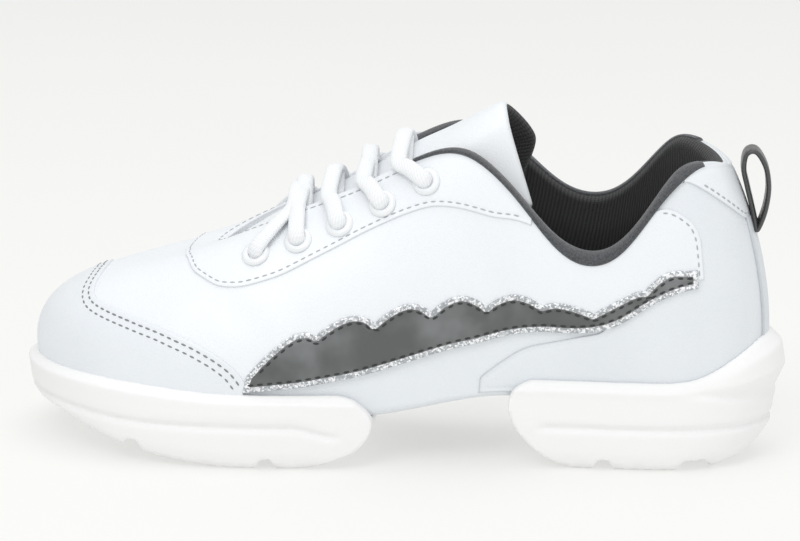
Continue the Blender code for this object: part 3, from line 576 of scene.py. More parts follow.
def near_edge(tree, reach):
    """1 at the piece's border and 0 at a distance in from it, from the stored distance."""
    stored = node(tree, "ShaderNodeAttribute", attribute_name="edge_mm")
    return ramp(tree, stored.outputs["Fac"], 0.0, reach, 1.0, 0.0)


# %% [markdown]
# White leather: smooth, cool white, half gloss. Its grain is finer than a millimetre, so it is
# bump and not shape. Painted shade darkens each panel near its cut edge, where the panel's step
# shades it, and broad patches shift the tone slightly.


# %% White leather
def make_leather(name, colour, shade, roughness, edge_shade_reach=0.9):
    made, tree, shader = start_material(name)
    grain_node = use(tree, LEATHER_GRAIN, Scale=1150.0, Depth=1.0)
    marks_node = use(tree, HANDLING_MARKS, Amount=0.35)
    toned = mix_colours(tree, ramp(tree, grain_node.outputs["Patches"], 0.35, 0.7), colour, shade)
    # Painted shade: the colour darkens towards the panel's cut edge, where its step shades it.
    edge_shaded_tone = mix_colours(tree, maths(tree, "MULTIPLY", near_edge(tree, edge_shade_reach), 0.42), toned,
                        tuple(0.52 * part for part in colour))
    marked = mix_colours(tree, maths(tree, "MULTIPLY", marks_node.outputs["Marks"], 0.25), edge_shaded_tone,
                         tuple(0.80 * part for part in colour))
    tree.links.new(marked, shader.inputs["Base Color"])
    tree.links.new(maths(tree, "ADD", ramp(tree, grain_node.outputs["Patches"], 0.3, 0.7, -0.05, 0.06),
                         roughness), shader.inputs["Roughness"])
    shader.inputs["Coat Weight"].default_value = 0.12
    shader.inputs["Coat Roughness"].default_value = 0.35
    bump(tree, shader, grain_node.outputs["Height"], 0.00006, 0.55)
    return made


VAMP_LEATHER = make_leather("white vamp leather", (0.84, 0.87, 0.90), (0.825, 0.855, 0.89), 0.42)
# A darker copy of the same white leather, for the toe and the shell under the panels: painted shade.
TOE_LEATHER_SHADED = make_leather("white toe leather, painted shade", (0.785, 0.82, 0.85), (0.77, 0.805, 0.84), 0.42)
# A darker copy of the same white leather, low round the heel: painted shade.
COUNTER_LEATHER_SHADED = make_leather("white counter leather, painted shade", (0.775, 0.81, 0.84), (0.76, 0.795, 0.83), 0.45)
# The back strip's copy is darker and darkens over a wider band at its edges: painted shade on the back of the heel.
STRIP_LEATHER_SHADED = make_leather("white strip leather, painted shade", (0.70, 0.74, 0.775), (0.69, 0.73, 0.765), 0.45, 1.6)
TONGUE_LEATHER = make_leather("white tongue leather", (0.83, 0.855, 0.88), (0.815, 0.84, 0.87), 0.45)

# %% [markdown]
# The mesh lining is black with fine ribs. The ribs follow the map of the surface, so they run down
# from the mouth as on the real collar. Felt is dark grey and has a soft sheen from loose fibres.


# %% Lining, felt and cloth
def make_cloth(name, dark, pale, threads, distance, sheen, roughness=0.9):
    made, tree, shader = start_material(name)
    weave = use(tree, WOVEN_THREADS, **threads)
    tone = maths(tree, "ADD", maths(tree, "MULTIPLY", weave.outputs["Height"], 0.7),
                 maths(tree, "MULTIPLY", weave.outputs["Fibre"], 0.3))
    tree.links.new(mix_colours(tree, tone, dark, pale), shader.inputs["Base Color"])
    shader.inputs["Roughness"].default_value = roughness
    shader.inputs["Sheen Weight"].default_value = sheen
    shader.inputs["Sheen Roughness"].default_value = 0.5
    bump(tree, shader, weave.outputs["Height"], distance, 0.8)
    return made


MESH_LINING = make_cloth("black ribbed mesh", (0.010, 0.010, 0.010), (0.080, 0.081, 0.083),
                         {"Across": 2300.0, "Along": 3600.0, "Slant": 0.12}, 0.00040, 0.15)
LACE_CLOTH = make_cloth("white woven lace", (0.77, 0.795, 0.82), (0.90, 0.915, 0.93),
                        {"Across": 3400.0, "Along": 2600.0, "Slant": 0.6}, 0.00014, 0.2, 0.75)
BOARD_CLOTH = make_cloth("grey lasting cloth", (0.42, 0.44, 0.45), (0.60, 0.62, 0.63),
                         {"Across": 2200.0, "Along": 2200.0, "Slant": 0.0}, 0.0002, 0.1)

FELT, tree, shader = start_material("dark grey felt")
fuzz = node(tree, "ShaderNodeTexNoise", {"Scale": 1500.0, "Detail": 4.0, "Roughness": 0.75})
where = node(tree, "ShaderNodeTexCoord")
tree.links.new(where.outputs["Object"], fuzz.inputs["Vector"])
tree.links.new(mix_colours(tree, ramp(tree, fuzz.outputs[0], 0.3, 0.7), (0.040, 0.043, 0.048),
                           (0.108, 0.115, 0.122)), shader.inputs["Base Color"])
shader.inputs["Roughness"].default_value = 0.95
shader.inputs["Sheen Weight"].default_value = 0.35
bump(tree, shader, fuzz.outputs[0], 0.0004, 0.8)
print("cloths ready")

# %% [markdown]
# The side band is dark glossy leather with a trim of silver glitter along both edges. One material
# shows both: the stored distance to the border says where the trim ends. The glitter is a field of
# small cells, each with its own tilt and brightness.

# %% Dark gloss with a glitter trim
TRIM_MM = 2.1
BAND_GLOSS, tree, shader = start_material("dark gloss with glitter trim")
stored = node(tree, "ShaderNodeAttribute", attribute_name="edge_mm")
where = node(tree, "ShaderNodeTexCoord")
is_trim = ramp(tree, stored.outputs["Fac"], TRIM_MM - 0.12, TRIM_MM + 0.12, 1.0, 0.0)
flakes = node(tree, "ShaderNodeTexVoronoi", {"Scale": 1500.0})
tree.links.new(where.outputs["Object"], flakes.inputs["Vector"])
flake_tone = node(tree, "ShaderNodeSeparateColor")
tree.links.new(flakes.outputs["Color"], flake_tone.inputs[0])
glitter = mix_colours(tree, ramp(tree, flake_tone.outputs[0], 0.25, 0.95),
                      (0.40, 0.42, 0.44), (0.95, 0.96, 0.98))
# Paler clouds on the dark gloss are painted highlights.
highlight_clouds = node(tree, "ShaderNodeTexNoise", {"Scale": 45.0, "Detail": 3.0})
tree.links.new(where.outputs["Object"], highlight_clouds.inputs["Vector"])
gloss = mix_colours(tree, ramp(tree, highlight_clouds.outputs[0], 0.35, 0.75),
                    (0.082, 0.087, 0.086), (0.19, 0.20, 0.205))
tree.links.new(mix_colours(tree, is_trim, gloss, glitter), shader.inputs["Base Color"])
tree.links.new(maths(tree, "MULTIPLY", is_trim, 0.55), shader.inputs["Metallic"])
tree.links.new(maths(tree, "ADD", maths(tree, "MULTIPLY", is_trim, 0.12), 0.30), shader.inputs["Roughness"])
trim_height = maths(tree, "MULTIPLY", is_trim, flake_tone.outputs[1])
bump(tree, shader, trim_height, 0.00025, 0.9)
shader.inputs["Coat Weight"].default_value = 0.3
shader.inputs["Coat Roughness"].default_value = 0.2

# %% [markdown]
# The sole is white moulded rubber: almost no gloss, a fine matt texture and a little dust low down.
# Eyelets are white plastic with a clear shine. The pull loop is a dark, shiny woven ribbon.

# %% Rubber, plastic, ribbon and thread
RUBBER, tree, shader = start_material("white moulded rubber")
marks_node = use(tree, HANDLING_MARKS, Amount=1.0)
where = node(tree, "ShaderNodeTexCoord")
pores = node(tree, "ShaderNodeTexNoise", {"Scale": 1400.0, "Detail": 3.0})
tree.links.new(where.outputs["Object"], pores.inputs["Vector"])
dusty = mix_colours(tree, maths(tree, "MULTIPLY", marks_node.outputs["Low Dust"], 0.22),
                    (0.875, 0.875, 0.875), (0.66, 0.64, 0.60))
tree.links.new(mix_colours(tree, maths(tree, "MULTIPLY", marks_node.outputs["Marks"], 0.10), dusty,
                           (0.72, 0.72, 0.71)), shader.inputs["Base Color"])
shader.inputs["Roughness"].default_value = 0.55
# Chevron bars under the tread, where the stored value says that the rubber faces the floor
stored = node(tree, "ShaderNodeAttribute", attribute_name="tread")
split = node(tree, "ShaderNodeSeparateXYZ")
tree.links.new(where.outputs["Object"], split.inputs[0])
slant = maths(tree, "MULTIPLY", maths(tree, "ABSOLUTE", split.outputs["Y"]), 0.6)
bars = maths(tree, "SINE", maths(tree, "MULTIPLY", maths(tree, "ADD", split.outputs["X"], slant), 1250.0))
bars = maths(tree, "MULTIPLY", ramp(tree, bars, -0.35, 0.15), stored.outputs["Fac"])
bump(tree, shader, maths(tree, "ADD", bars, maths(tree, "MULTIPLY", pores.outputs[0], 0.05)), 0.0009, 0.8)

PLASTIC, tree, shader = start_material("white eyelet plastic")
where = node(tree, "ShaderNodeTexCoord")
flow = node(tree, "ShaderNodeTexNoise", {"Scale": 300.0, "Detail": 2.0})
tree.links.new(where.outputs["Object"], flow.inputs["Vector"])
tree.links.new(mix_colours(tree, flow.outputs[0], (0.80, 0.82, 0.84), (0.86, 0.875, 0.89)),
               shader.inputs["Base Color"])
shader.inputs["Roughness"].default_value = 0.22
shader.inputs["Coat Weight"].default_value = 0.5
bump(tree, shader, flow.outputs[0], 0.00005, 0.3)

RIBBON = make_cloth("dark shiny ribbon", (0.022, 0.023, 0.024), (0.075, 0.078, 0.078),
                    {"Across": 3600.0, "Along": 2400.0, "Slant": 0.0}, 0.00012, 0.0, 0.30)


def make_thread(name, colour):
    made, tree, shader = start_material(name)
    where = node(tree, "ShaderNodeTexCoord")
    twist = node(tree, "ShaderNodeTexNoise", {"Scale": 4200.0, "Detail": 2.0})
    tree.links.new(where.outputs["Object"], twist.inputs["Vector"])
    tree.links.new(mix_colours(tree, twist.outputs[0], tuple(0.75 * part for part in colour), colour),
                   shader.inputs["Base Color"])
    shader.inputs["Roughness"].default_value = 0.7
    bump(tree, shader, twist.outputs[0], 0.0001, 0.5)
    return made


GREY_THREAD = make_thread("grey thread", (0.26, 0.27, 0.28))
PALE_THREAD = make_thread("pale thread", (0.50, 0.52, 0.54))
DARK_THREAD = make_thread("dark thread", (0.035, 0.037, 0.038))
print("materials:", len(bpy.data.materials))

# %% [markdown]
# The upper is one hollow sleeve: outside, rounded mouth, padded inside and a margin that turns in
# under the foot. A grid is bent into that tube and its two seams are merged. Faces of the outside
# get leather, and those of the inside get the mesh.

# %% The hollow upper
UPPER_COLUMNS = 416
OUTSIDE_ROWS, LINING_ROWS = 48, 40
ring_points = []
round_place = np.arange(UPPER_COLUMNS + 1) * TURN / UPPER_COLUMNS
foot = skin(round_place, 0.0 * round_place)
out = outward(round_place)
for part in (0.0, 0.35, 0.7, 0.93):
    ring_points.append(seated(foot - out * (MARGIN - (MARGIN - 0.0022) * part), 0.0))
ring_points.append(foot - out * 0.0008 + UP * 0.0008)
for level in range(1, OUTSIDE_ROWS + 1):
    ring_points.append(skin(round_place, 0.0 * round_place + level / OUTSIDE_ROWS))
mouth_row = len(ring_points) - 1
thick = wall_thickness(round_place, 1.0)
top = skin(round_place, 0.0 * round_place + 1.0)
ahead = unit(top - skin(round_place, 0.0 * round_place + 0.97))
inner_way = -unit(read_net(NORMALS, round_place, 0.0 * round_place + 1.0))
for part in (0.2, 0.5, 0.8):
    arch = 0.3 * math.sin(math.pi * part)
    ring_points.append(top + inner_way * (thick * part)[:, None] + ahead * (thick * arch)[:, None])
for level in range(LINING_ROWS, 0, -1):
    rise = 0.0 * round_place + level / LINING_ROWS
    ring_points.append(skin(round_place, rise, -wall_thickness(round_place, rise)))
ring_points.append(seated(foot - out * (WALL + 0.0008), WALL))
for part in (0.35, 0.7):
    ring_points.append(seated(foot - out * (WALL + 0.0008 + (MARGIN - WALL - 0.0008) * part), WALL))
ring_points.append(seated(foot - out * MARGIN, WALL))
ring_points.append(ring_points[0])
rings = np.array(ring_points)
upper_piece, column, row = flat_grid("upper_shell", UPPER_COLUMNS, len(rings) - 1)
lay(upper_piece, rings[row, column])
round_length = lengths_of(skin(round_place, 0.0 * round_place + 0.9))
down_length = np.concatenate([np.zeros((1, len(round_place))),
                              np.cumsum(np.linalg.norm(np.diff(rings, axis=0), axis=-1), axis=0)])
set_uv(upper_piece, round_length[column], down_length[row, column])
upper_piece.data.materials.append(TOE_LEATHER_SHADED)
upper_piece.data.materials.append(MESH_LINING)
lowest = face_rows(upper_piece, row)
upper_piece.data.polygons.foreach_set("material_index",
                                      (lowest >= mouth_row + 1).astype(int))
clean(upper_piece, holes=False)
store_edge(upper_piece, np.full(len(upper_piece.data.vertices), 9.0))
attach(upper_piece, "root")
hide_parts("upper")
print("upper:", len(upper_piece.data.polygons), "faces")

# %% [markdown]
# A panel is a leather piece between two seams. Its first rows roll over the cut edge, and a shallow
# groove runs where the stitches pull it down. The distance of every point to the border is stored,
# for the finishes and for the groove.

# %% One way to make every panel
EDGE_IN = np.array([0.0, 0.0, 0.00012, 0.00040])
EDGE_UP = np.array([-0.15, 0.60, 0.93, 1.0])
ROWS_PER_COLUMN = 0.042
STITCH_GROOVE = 0.0007
SHEET = 0.0004


def metres_per_row(place, rise):
    return np.linalg.norm(skin(place + 0.02, rise) - skin(place - 0.02, rise), axis=-1) / 0.04


def panel(name, first, last, low, high, layer, finish, base=0.0, columns=None, rows=36,
          groove_at=0.0016, groove=0.00022):
    """A leather panel from one place to another, between two functions of the place."""
    columns = columns or int((last - first) / ROWS_PER_COLUMN)
    piece, column, row = flat_grid(name, columns, rows)
    start_rise = (low(np.array([first])) + high(np.array([first]))) / 2
    end_rise = (low(np.array([last])) + high(np.array([last]))) / 2
    at = np.linspace(first, last, columns + 1)
    for index in range(4):
        at[index] = first + EDGE_IN[index] / metres_per_row(np.array([first]), start_rise)[0]
        at[columns - index] = last - EDGE_IN[index] / metres_per_row(np.array([last]), end_rise)[0]
    inner = np.linspace(at[3], at[columns - 3], columns - 5)
    at[3:columns - 2] = inner
    bottom, top_edge = low(at), high(at)
    probe = np.linspace(0, 1, 25)
    probe_points = skin(np.repeat(at[:, None], 25, 1),
                        bottom[:, None] + (top_edge - bottom)[:, None] * probe[None])
    tall = np.linalg.norm(np.diff(probe_points, axis=1), axis=-1).sum(1)
    across = np.zeros((columns + 1, rows + 1))
    edge_in = EDGE_IN[None] * np.minimum(1.0, tall / 0.003)[:, None]
    across[:, :4] = edge_in
    across[:, rows - 3:] = tall[:, None] - edge_in[:, ::-1]
    middle = np.linspace(0, 1, rows - 5)
    across[:, 3:rows - 2] = edge_in[:, 3:4] + (tall[:, None] - 2 * edge_in[:, 3:4]) * middle[None]
    share = across / tall[:, None]
    rise = bottom[:, None] + (top_edge - bottom)[:, None] * share
    up_share = np.ones(rows + 1)
    up_share[:4] = EDGE_UP
    up_share[rows - 3:] = EDGE_UP[::-1]
    side_share = np.ones(columns + 1)
    side_share[:4] = EDGE_UP
    side_share[columns - 3:] = EDGE_UP[::-1]
    lift = base + layer * np.minimum(up_share[None], side_share[:, None])
    place = np.repeat(at[:, None], rows + 1, 1)
    points = skin(place, rise, lift)
    border = np.concatenate([points[:, 1], points[:, -2], points[1], points[-2]])
    tree_of_border = KDTree(len(border) * 3)
    number = 0
    for line in (points[:, 1], points[:, -2], points[1], points[-2]):
        for a, b in zip(line[:-1], line[1:]):
            for part in (0.0, 1 / 3, 2 / 3):
                tree_of_border.insert(a + (b - a) * part, number)
                number += 1
    tree_of_border.balance()
    flat = points.reshape(-1, 3)
    distance = np.array([tree_of_border.find(point)[2] for point in flat]).reshape(lift.shape)
    lift = lift - groove * np.exp(-((distance - groove_at) / STITCH_GROOVE) ** 2)
    points = skin(place, rise, lift)
    lay(piece, points[column, row])
    run = lengths_of(points[:, rows // 2])
    set_uv(piece, run[column], across[column, row])
    store_edge(piece, distance[column, row] * 1000)
    facing(piece, read_net(NORMALS, place, rise)[column, row])
    apply(piece, "SOLIDIFY", thickness=SHEET, offset=-1.0)
    only(piece)
    bpy.ops.object.shade_smooth()
    piece.data.materials.append(finish)
    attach(piece, "root")
    print(name, len(piece.data.polygons), "faces")
    return piece


def at_row(table, place):
    rows_of_table, values = zip(*table)
    return np.interp(row_of(place), rows_of_table, values)


# %% [markdown]
# The seams cross the ribs at these rows and rises, the same on both sides of the foot. The toe
# cap laps over the vamp, and the vamp runs on under the side band. The eyestay lies over the vamp.

# %% Seams and leather panels
TOE_SEAM = ((8.4, 0.15), (8.6, 0.21), (9.0, 0.27), (9.5, 0.325), (10.2, 0.38), (10.9, 0.415),
            (11.4, 0.438), (11.76, 0.458), (12.04, 0.510), (12.34, 0.575), (12.62, 0.618), (13.0, 0.638))
EYESTAY_SEAM = ((4.6, 0.93), (4.9, 0.865), (5.2, 0.80), (5.6, 0.765), (6.0, 0.75), (6.4, 0.75),
                (6.9, 0.735), (7.6, 0.70), (8.2, 0.65), (8.7, 0.595), (9.3, 0.56), (9.8, 0.575),
                (10.2, 0.62), (10.60, 0.665), (11.21, 0.765), (11.96, 0.853), (12.57, 0.887), (13.0, 0.893))
BAND_TOP = ((1.75, 0.560), (2.6, 0.645), (4.1, 0.630), (5.1, 0.480), (6.0, 0.420), (7.0, 0.390),
            (7.6, 0.370), (8.0, 0.335), (8.55, 0.200))
BAND_FOOT = ((1.75, 0.490), (2.6, 0.505), (4.1, 0.430), (5.1, 0.285), (6.0, 0.215), (7.0, 0.160),
             (7.6, 0.135), (8.55, 0.115))
TAB_SEAM = ((0.0, 0.735), (0.5, 0.740), (0.8, 0.780), (1.1, 0.825), (1.5, 0.890), (1.8, 0.950))
QUARTER_BACK = ((1.60, 0.660), (1.64, 0.715), (1.70, 0.745), (1.95, 0.825), (2.20, 0.910), (2.50, 1.0))
COUNTER_FRONT = ((1.67, 0.470), (2.6, 0.480), (3.6, 0.405), (4.4, 0.280), (5.0, 0.100))
VAMP_LAYER, TOE_LAYER, EYESTAY_LAYER = 0.0013, 0.0019, 0.0022
COUNTER_LAYER, TAB_LAYER, BAND_LAYER = 0.0007, 0.0015, 0.0021


def softened(table, spread=0.12):
    """The table as a smooth curve: a finer table whose corners are rounded."""
    rows_fine = np.linspace(table[0][0], table[-1][0], 160)
    values = np.interp(rows_fine, *zip(*table))
    step = rows_fine[1] - rows_fine[0]
    reach = int(4 * spread / step)
    weights = np.exp(-0.5 * (np.arange(-reach, reach + 1) * step / spread) ** 2)
    padded_values = np.concatenate([2 * values[0] - values[reach:0:-1], values,
                                    2 * values[-1] - values[-2:-reach - 2:-1]])
    return tuple(zip(rows_fine, np.convolve(padded_values, weights / weights.sum(), "valid")))


TOE_SEAM = softened(TOE_SEAM)
EYESTAY_SEAM = softened(EYESTAY_SEAM)
BAND_TOP = softened(BAND_TOP)
BAND_FOOT = softened(BAND_FOOT)
TAB_SEAM = softened(TAB_SEAM, 0.08)
COUNTER_FRONT = softened(COUNTER_FRONT)
QUARTER_BACK = softened(QUARTER_BACK, 0.04)


def under_binding(place):
    return below_mouth(place, 0.0012)


def vamp_low(place):
    row = row_of(place)
    return np.where(row >= 8.4, at_row(TOE_SEAM, place) - 0.02, at_row(BAND_FOOT, place) + 0.03)


def vamp_high(place):
    row = row_of(place)
    high = under_binding(place)
    high = np.where(row < 2.5, np.minimum(high, at_row(QUARTER_BACK, place)), high)
    return np.where(row > 4.62, np.minimum(high, at_row(EYESTAY_SEAM, place) + 0.035), high)


toe_cap = panel("toe_cap", 8.42, TURN - 8.42, lambda place: 0.0 * place + 0.02,
                lambda place: at_row(TOE_SEAM, place), TOE_LAYER, TOE_LEATHER_SHADED,
                groove_at=0.0030, groove=0.0001)
vamp = panel("vamp_leather", 1.61, TURN - 1.61, vamp_low, vamp_high, VAMP_LAYER, VAMP_LEATHER, rows=44,
             groove=0.0)
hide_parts("vamp_and_quarters")


def eyestay_high(place):
    row = row_of(place)
    bound = 0.0006 * (1 - smooth_step(6.78, 6.86, row)) + 0.0002
    return below_mouth(place, bound)


eyestay = panel("eyestay_leather", 4.60, TURN - 4.60, lambda place: at_row(EYESTAY_SEAM, place),
                eyestay_high, EYESTAY_LAYER, VAMP_LEATHER, rows=34)
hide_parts("eyestay")

# %% [markdown]
# The heel has a counter low round its back and a tab above it. The counter reaches forward under
# the band to the arch. A thin strip covers the seam up the middle of the back.

# %% Heel counter, tab and back strip
def counter_high(place):
    row = row_of(place)
    behind = np.where(row < 1.85, np.minimum(at_row(TAB_SEAM, place) + 0.03, 0.985), under_binding(place))
    forward = smooth_step(2.35, 3.3, row)
    return behind * (1 - forward) + (at_row(COUNTER_FRONT, place) + 0.02) * forward


counter = panel("counter_leather", -5.0, 5.0, lambda place: 0.0 * place + 0.04, counter_high,
                COUNTER_LAYER, COUNTER_LEATHER_SHADED, rows=40)
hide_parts("heel_counter")
tab = panel("heel_tab_leather", -1.84, 1.84, lambda place: np.minimum(at_row(TAB_SEAM, place), 0.975),
            lambda place: below_mouth(place, 0.0004), TAB_LAYER, VAMP_LEATHER, rows=24)
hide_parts("heel_tab")
strip = panel("back_strip", -0.42, 0.42, lambda place: 0.0 * place + 0.10,
              lambda place: at_row(TAB_SEAM, place) + 0.01, 0.0009, STRIP_LEATHER_SHADED, base=COUNTER_LAYER,
              columns=30, rows=60, groove=0.0)

# %% [markdown]
# The band along each side is the shoe's ornament. Its lower edge is one long curve and its top edge
# is a row of scallops. It lies on the quarter, so the white leather shows between the scallops.

# %% Scalloped side bands
SCALLOPS = 8
BAND_ENDS = (1.72, 8.44)


def band_share(place):
    return (row_of(place) - BAND_ENDS[0]) / (BAND_ENDS[1] - BAND_ENDS[0])


def band_high(place):
    share = np.clip(band_share(place), 0.0, 1.0)
    wave = np.abs(np.sin(math.pi * SCALLOPS * share)) ** 0.8
    return at_row(BAND_TOP, place) - 0.045 * (1 - wave) * smooth_step(0.0, 0.06, share) + 0.004


for label, first, last in (("lateral", BAND_ENDS[0], BAND_ENDS[1]),
                           ("medial", TURN - BAND_ENDS[1], TURN - BAND_ENDS[0])):
    band = panel(f"band_{label}", first, last, lambda place: at_row(BAND_FOOT, place), band_high, BAND_LAYER,
                 BAND_GLOSS, columns=400, rows=44, groove_at=0.0025, groove=0.00018)
    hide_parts(f"side_band_{label}")

# %% [markdown]
# The felt binding wraps the collar's edge, over the leather outside and the padding inside. It is
# one soft tube of nine points round, smoothed round each section, and slimmer towards the throat.

# %% Collar bindings
BINDING = 0.0012


def tube(name, sections, finish, per_section):
    """A closed tube from a list of sections, each a closed loop of points."""
    sections = np.asarray(sections, float)
    shares_round = np.arange(per_section + 1) / per_section
    loops = np.array([smooth_path(section, shares_round, closed=True) for section in sections])
    loops[:, -1] = loops[:, 0]
    piece, column, row = flat_grid(name, len(sections) - 1, per_section)
    lay(piece, loops[column, row])
    run = lengths_of(loops.mean(1))
    round_run = lengths_of(loops[len(loops) // 2])
    set_uv(piece, round_run[row], run[column])
    piece.data.materials.append(finish)
    clean(piece)
    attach(piece, "root")
    return piece


for label, side in (("lateral", 1), ("medial", -1)):
    sections = []
    for row_here in np.linspace(1.36, 6.86 if side > 0 else 7.12, 160):
        place = np.array([row_here if side > 0 else TURN - row_here])
        ease = float(smooth_step(1.30, 2.1, row_here))
        thick = float(wall_thickness(place, 1.0)[0])
        top = skin(place, np.array([1.0]))[0]
        out = unit(read_net(NORMALS, place, np.array([1.0])))[0]
        ahead = unit(top - skin(place, np.array([0.97]))[0])
        slim = 1 - 0.48 * float(smooth_step(3.6, 5.4, row_here))
        deep = below_mouth(place, BINDING_DEPTH * slim * (0.25 + 0.55 * ease))
        cover = VAMP_LAYER + 0.0001 + (EYESTAY_LAYER - VAMP_LAYER) * float(smooth_step(4.4, 4.8, row_here))
        felt = BINDING * (0.3 + 0.7 * ease) * (0.4 + 0.6 * slim)
        reach = 0.30 + 0.22 * ease
        hidden = skin(place, deep, np.array([cover - 0.0006]))[0]
        below = skin(place, deep, np.array([cover + felt * 0.45]))[0]
        sections.append([
            hidden, top + out * (cover - 0.0008) - ahead * 0.0007, top - out * thick * 0.3 - ahead * 0.0002,
            top - out * thick * reach + ahead * 0.1 * thick,
            top - out * thick * (reach + 0.05) + ahead * (0.26 * thick + felt * 0.5),
            top - out * thick * 0.25 + ahead * (0.24 * thick + felt * 0.8),
            top + out * cover * 0.6 + ahead * (0.12 * thick + felt * 0.5),
            top + out * (cover + felt * 0.7) - ahead * 0.0006, below])
    binding = tube(f"binding_{label}", sections, FELT, 30)
    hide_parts(f"collar_binding_{label}")
print("bindings made")

# %% [markdown]
# The tongue is a padded arch. Its sections follow the throat from below the vamp to the free top.
# Two grids make its faces, and their shared border closes the pad. White leather covers the outside
# and black mesh the inside.

# %% Tongue
TONGUE = 0.0045
TONGUE_CROWN = 0.0030
TONGUE_WING = 0.013
TONGUE_RISE = 0.0115
TONGUE_BEYOND = 0.022
TONGUE_ROWS = ((12.2, 0.75), (11.6, 0.8), (10.8, 0.9), (10.0, 1.0), (9.0, 1.0), (8.0, 1.1),
               (7.5, 1.2), (7.0, 1.35), (6.7, 1.5))
TONGUE_FREE = ((0.38, 0.38, 0.95, 0.36, 1.12, 1.35), (0.78, 0.82, 0.88, 0.34, 1.12, 1.62),
               (1.22, 1.24, 0.78, 0.30, 1.06, 1.95))


def one(place, rise, off=0.0):
    return skin(np.array([place]), np.array([rise]), np.array([off]))[0]


spine = []
for row_here, wing in TONGUE_ROWS:
    clearance = 0.0008 + 0.0014 * (1 - float(smooth_step(7.0, 7.6, row_here)))
    sides = []
    for place in (row_here, TURN - row_here):
        low_rise = float(below_mouth(np.array([place]), wing * TONGUE_WING)[0])
        edge = one(place, 1.0, -float(wall_thickness(place, 1.0)) - clearance)
        low = one(place, low_rise, -float(wall_thickness(place, low_rise)) - clearance)
        sides.append((low, edge))
    crown = (one(row_here, 1.0) + one(TURN - row_here, 1.0)) / 2
    crown = crown * [1, 0, 1] + UP * TONGUE_CROWN * float(smooth_step(12.6, 9.0, row_here))
    spine.append([sides[0][0], sides[0][1], crown, sides[1][1], sides[1][0]])
half = one(TONGUE_ROWS[-1][0], 1.0)[1] - 0.0022
crown = spine[-1][2]
for back, rise_up, edge_out, edge_down, wing_out, wing_down in TONGUE_FREE:
    middle = crown + np.array([-back * TONGUE_BEYOND, 0.0, rise_up * TONGUE_RISE])
    sides = []
    for side in (1, -1):
        # The far corner droops and curls back in under itself, as the photo shows it.
        beyond = 0.0078 if side < 0 else 0.0005
        droop = 0.57 * (back - 0.38) if side < 0 else 0.0
        under = 0.0066 if side < 0 else 0.00465 + 0.0055 * back
        edge = middle + np.array([-0.0010 - beyond * back, side * edge_out * half,
                                  -(edge_down + droop) * half])
        low = middle + np.array([-under, side * wing_out * half, -(wing_down - 0.65 * droop) * half])
        sides.append((low, edge))
    spine.append([sides[0][0], sides[0][1], middle, sides[1][1], sides[1][0]])
spine = np.array(spine)
ALONG_TONGUE, ACROSS_TONGUE = 110, 56
lengthwise = smooth_path(spine, np.linspace(0, 1, ALONG_TONGUE + 1))
outer_net = np.array([smooth_path(section, np.linspace(0, 1, ACROSS_TONGUE + 1)) for section in lengthwise])
tongue_normals = unit(np.cross(np.gradient(outer_net, axis=1), np.gradient(outer_net, axis=0)))
if tongue_normals[ALONG_TONGUE // 2, ACROSS_TONGUE // 2, 2] < 0:
    tongue_normals = -tongue_normals
across_share = np.abs(np.linspace(-1, 1, ACROSS_TONGUE + 1))
along_share = np.abs(np.linspace(-1, 1, ALONG_TONGUE + 1))
plump = (np.sqrt(np.maximum(1 - across_share ** 10, 0))[None]
         * np.sqrt(np.maximum(1 - along_share ** 30, 0))[:, None])
middle_net = outer_net - tongue_normals * (TONGUE / 2)
halves = []
for name, sign in (("tongue_pad", 1.0), ("tongue_inside", -1.0)):
    half_piece, column, row = flat_grid(name, ALONG_TONGUE, ACROSS_TONGUE)
    points = middle_net + sign * tongue_normals * (TONGUE / 2 * plump)[..., None]
    lay(half_piece, points[column, row])
    run = lengths_of(points[:, ACROSS_TONGUE // 2])
    across_run = lengths_of(points[ALONG_TONGUE // 2])
    set_uv(half_piece, across_run[row], run[column])
    half_piece.data.materials.append(TONGUE_LEATHER if sign > 0 else MESH_LINING)
    halves.append(half_piece)
tongue = joined(halves)
clean(tongue, merge=2e-6)
store_edge(tongue, np.full(len(tongue.data.vertices), 9.0))
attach(tongue, "root")
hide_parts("tongue")
print("tongue:", len(tongue.data.polygons), "faces")

# %% [markdown]
# An eyelet is a turned ring: a domed flange outside and a barrel through the leather. One is made
# from a circle by extrusions, and copied to the ten holes with a mesh of its own.

# %% Eyelets
EYELET_ROWS = 5
EYELET_PLACES = ((6.53, 0.855), (7.30, 0.812), (8.08, 0.780), (8.80, 0.748), (9.55, 0.722))
EYELET_PROFILE = ((2.45, -3.2), (2.45, 0.3), (2.6, 0.85), (3.1, 1.25), (3.9, 1.30), (4.6, 1.00),
                  (4.95, 0.45), (5.0, -0.1), (3.2, -0.1), (3.1, -3.2))
bpy.ops.object.select_all(action="DESELECT")
bpy.ops.mesh.primitive_circle_add(vertices=40, radius=EYELET_PROFILE[0][0] / 1000,
                                  location=(0, 0, EYELET_PROFILE[0][1] / 1000))
eyelet_pattern = bpy.context.object
eyelet_pattern.name = "eyelet_pattern"
bpy.ops.object.transform_apply(location=True, rotation=True, scale=True)
bpy.ops.object.mode_set(mode="EDIT")
bpy.ops.mesh.select_all(action="SELECT")
for (radius, high), (next_radius, next_high) in zip(EYELET_PROFILE, EYELET_PROFILE[1:] + EYELET_PROFILE[:1]):
    bpy.ops.mesh.extrude_region_move(TRANSFORM_OT_translate={"value": (0, 0, (next_high - high) / 1000)})
    bpy.ops.transform.resize(value=(next_radius / radius, next_radius / radius, 1.0),
                             center_override=(0.0, 0.0, next_high / 1000))
bpy.ops.object.mode_set(mode="OBJECT")
clean(eyelet_pattern, merge=1e-6, holes=False)

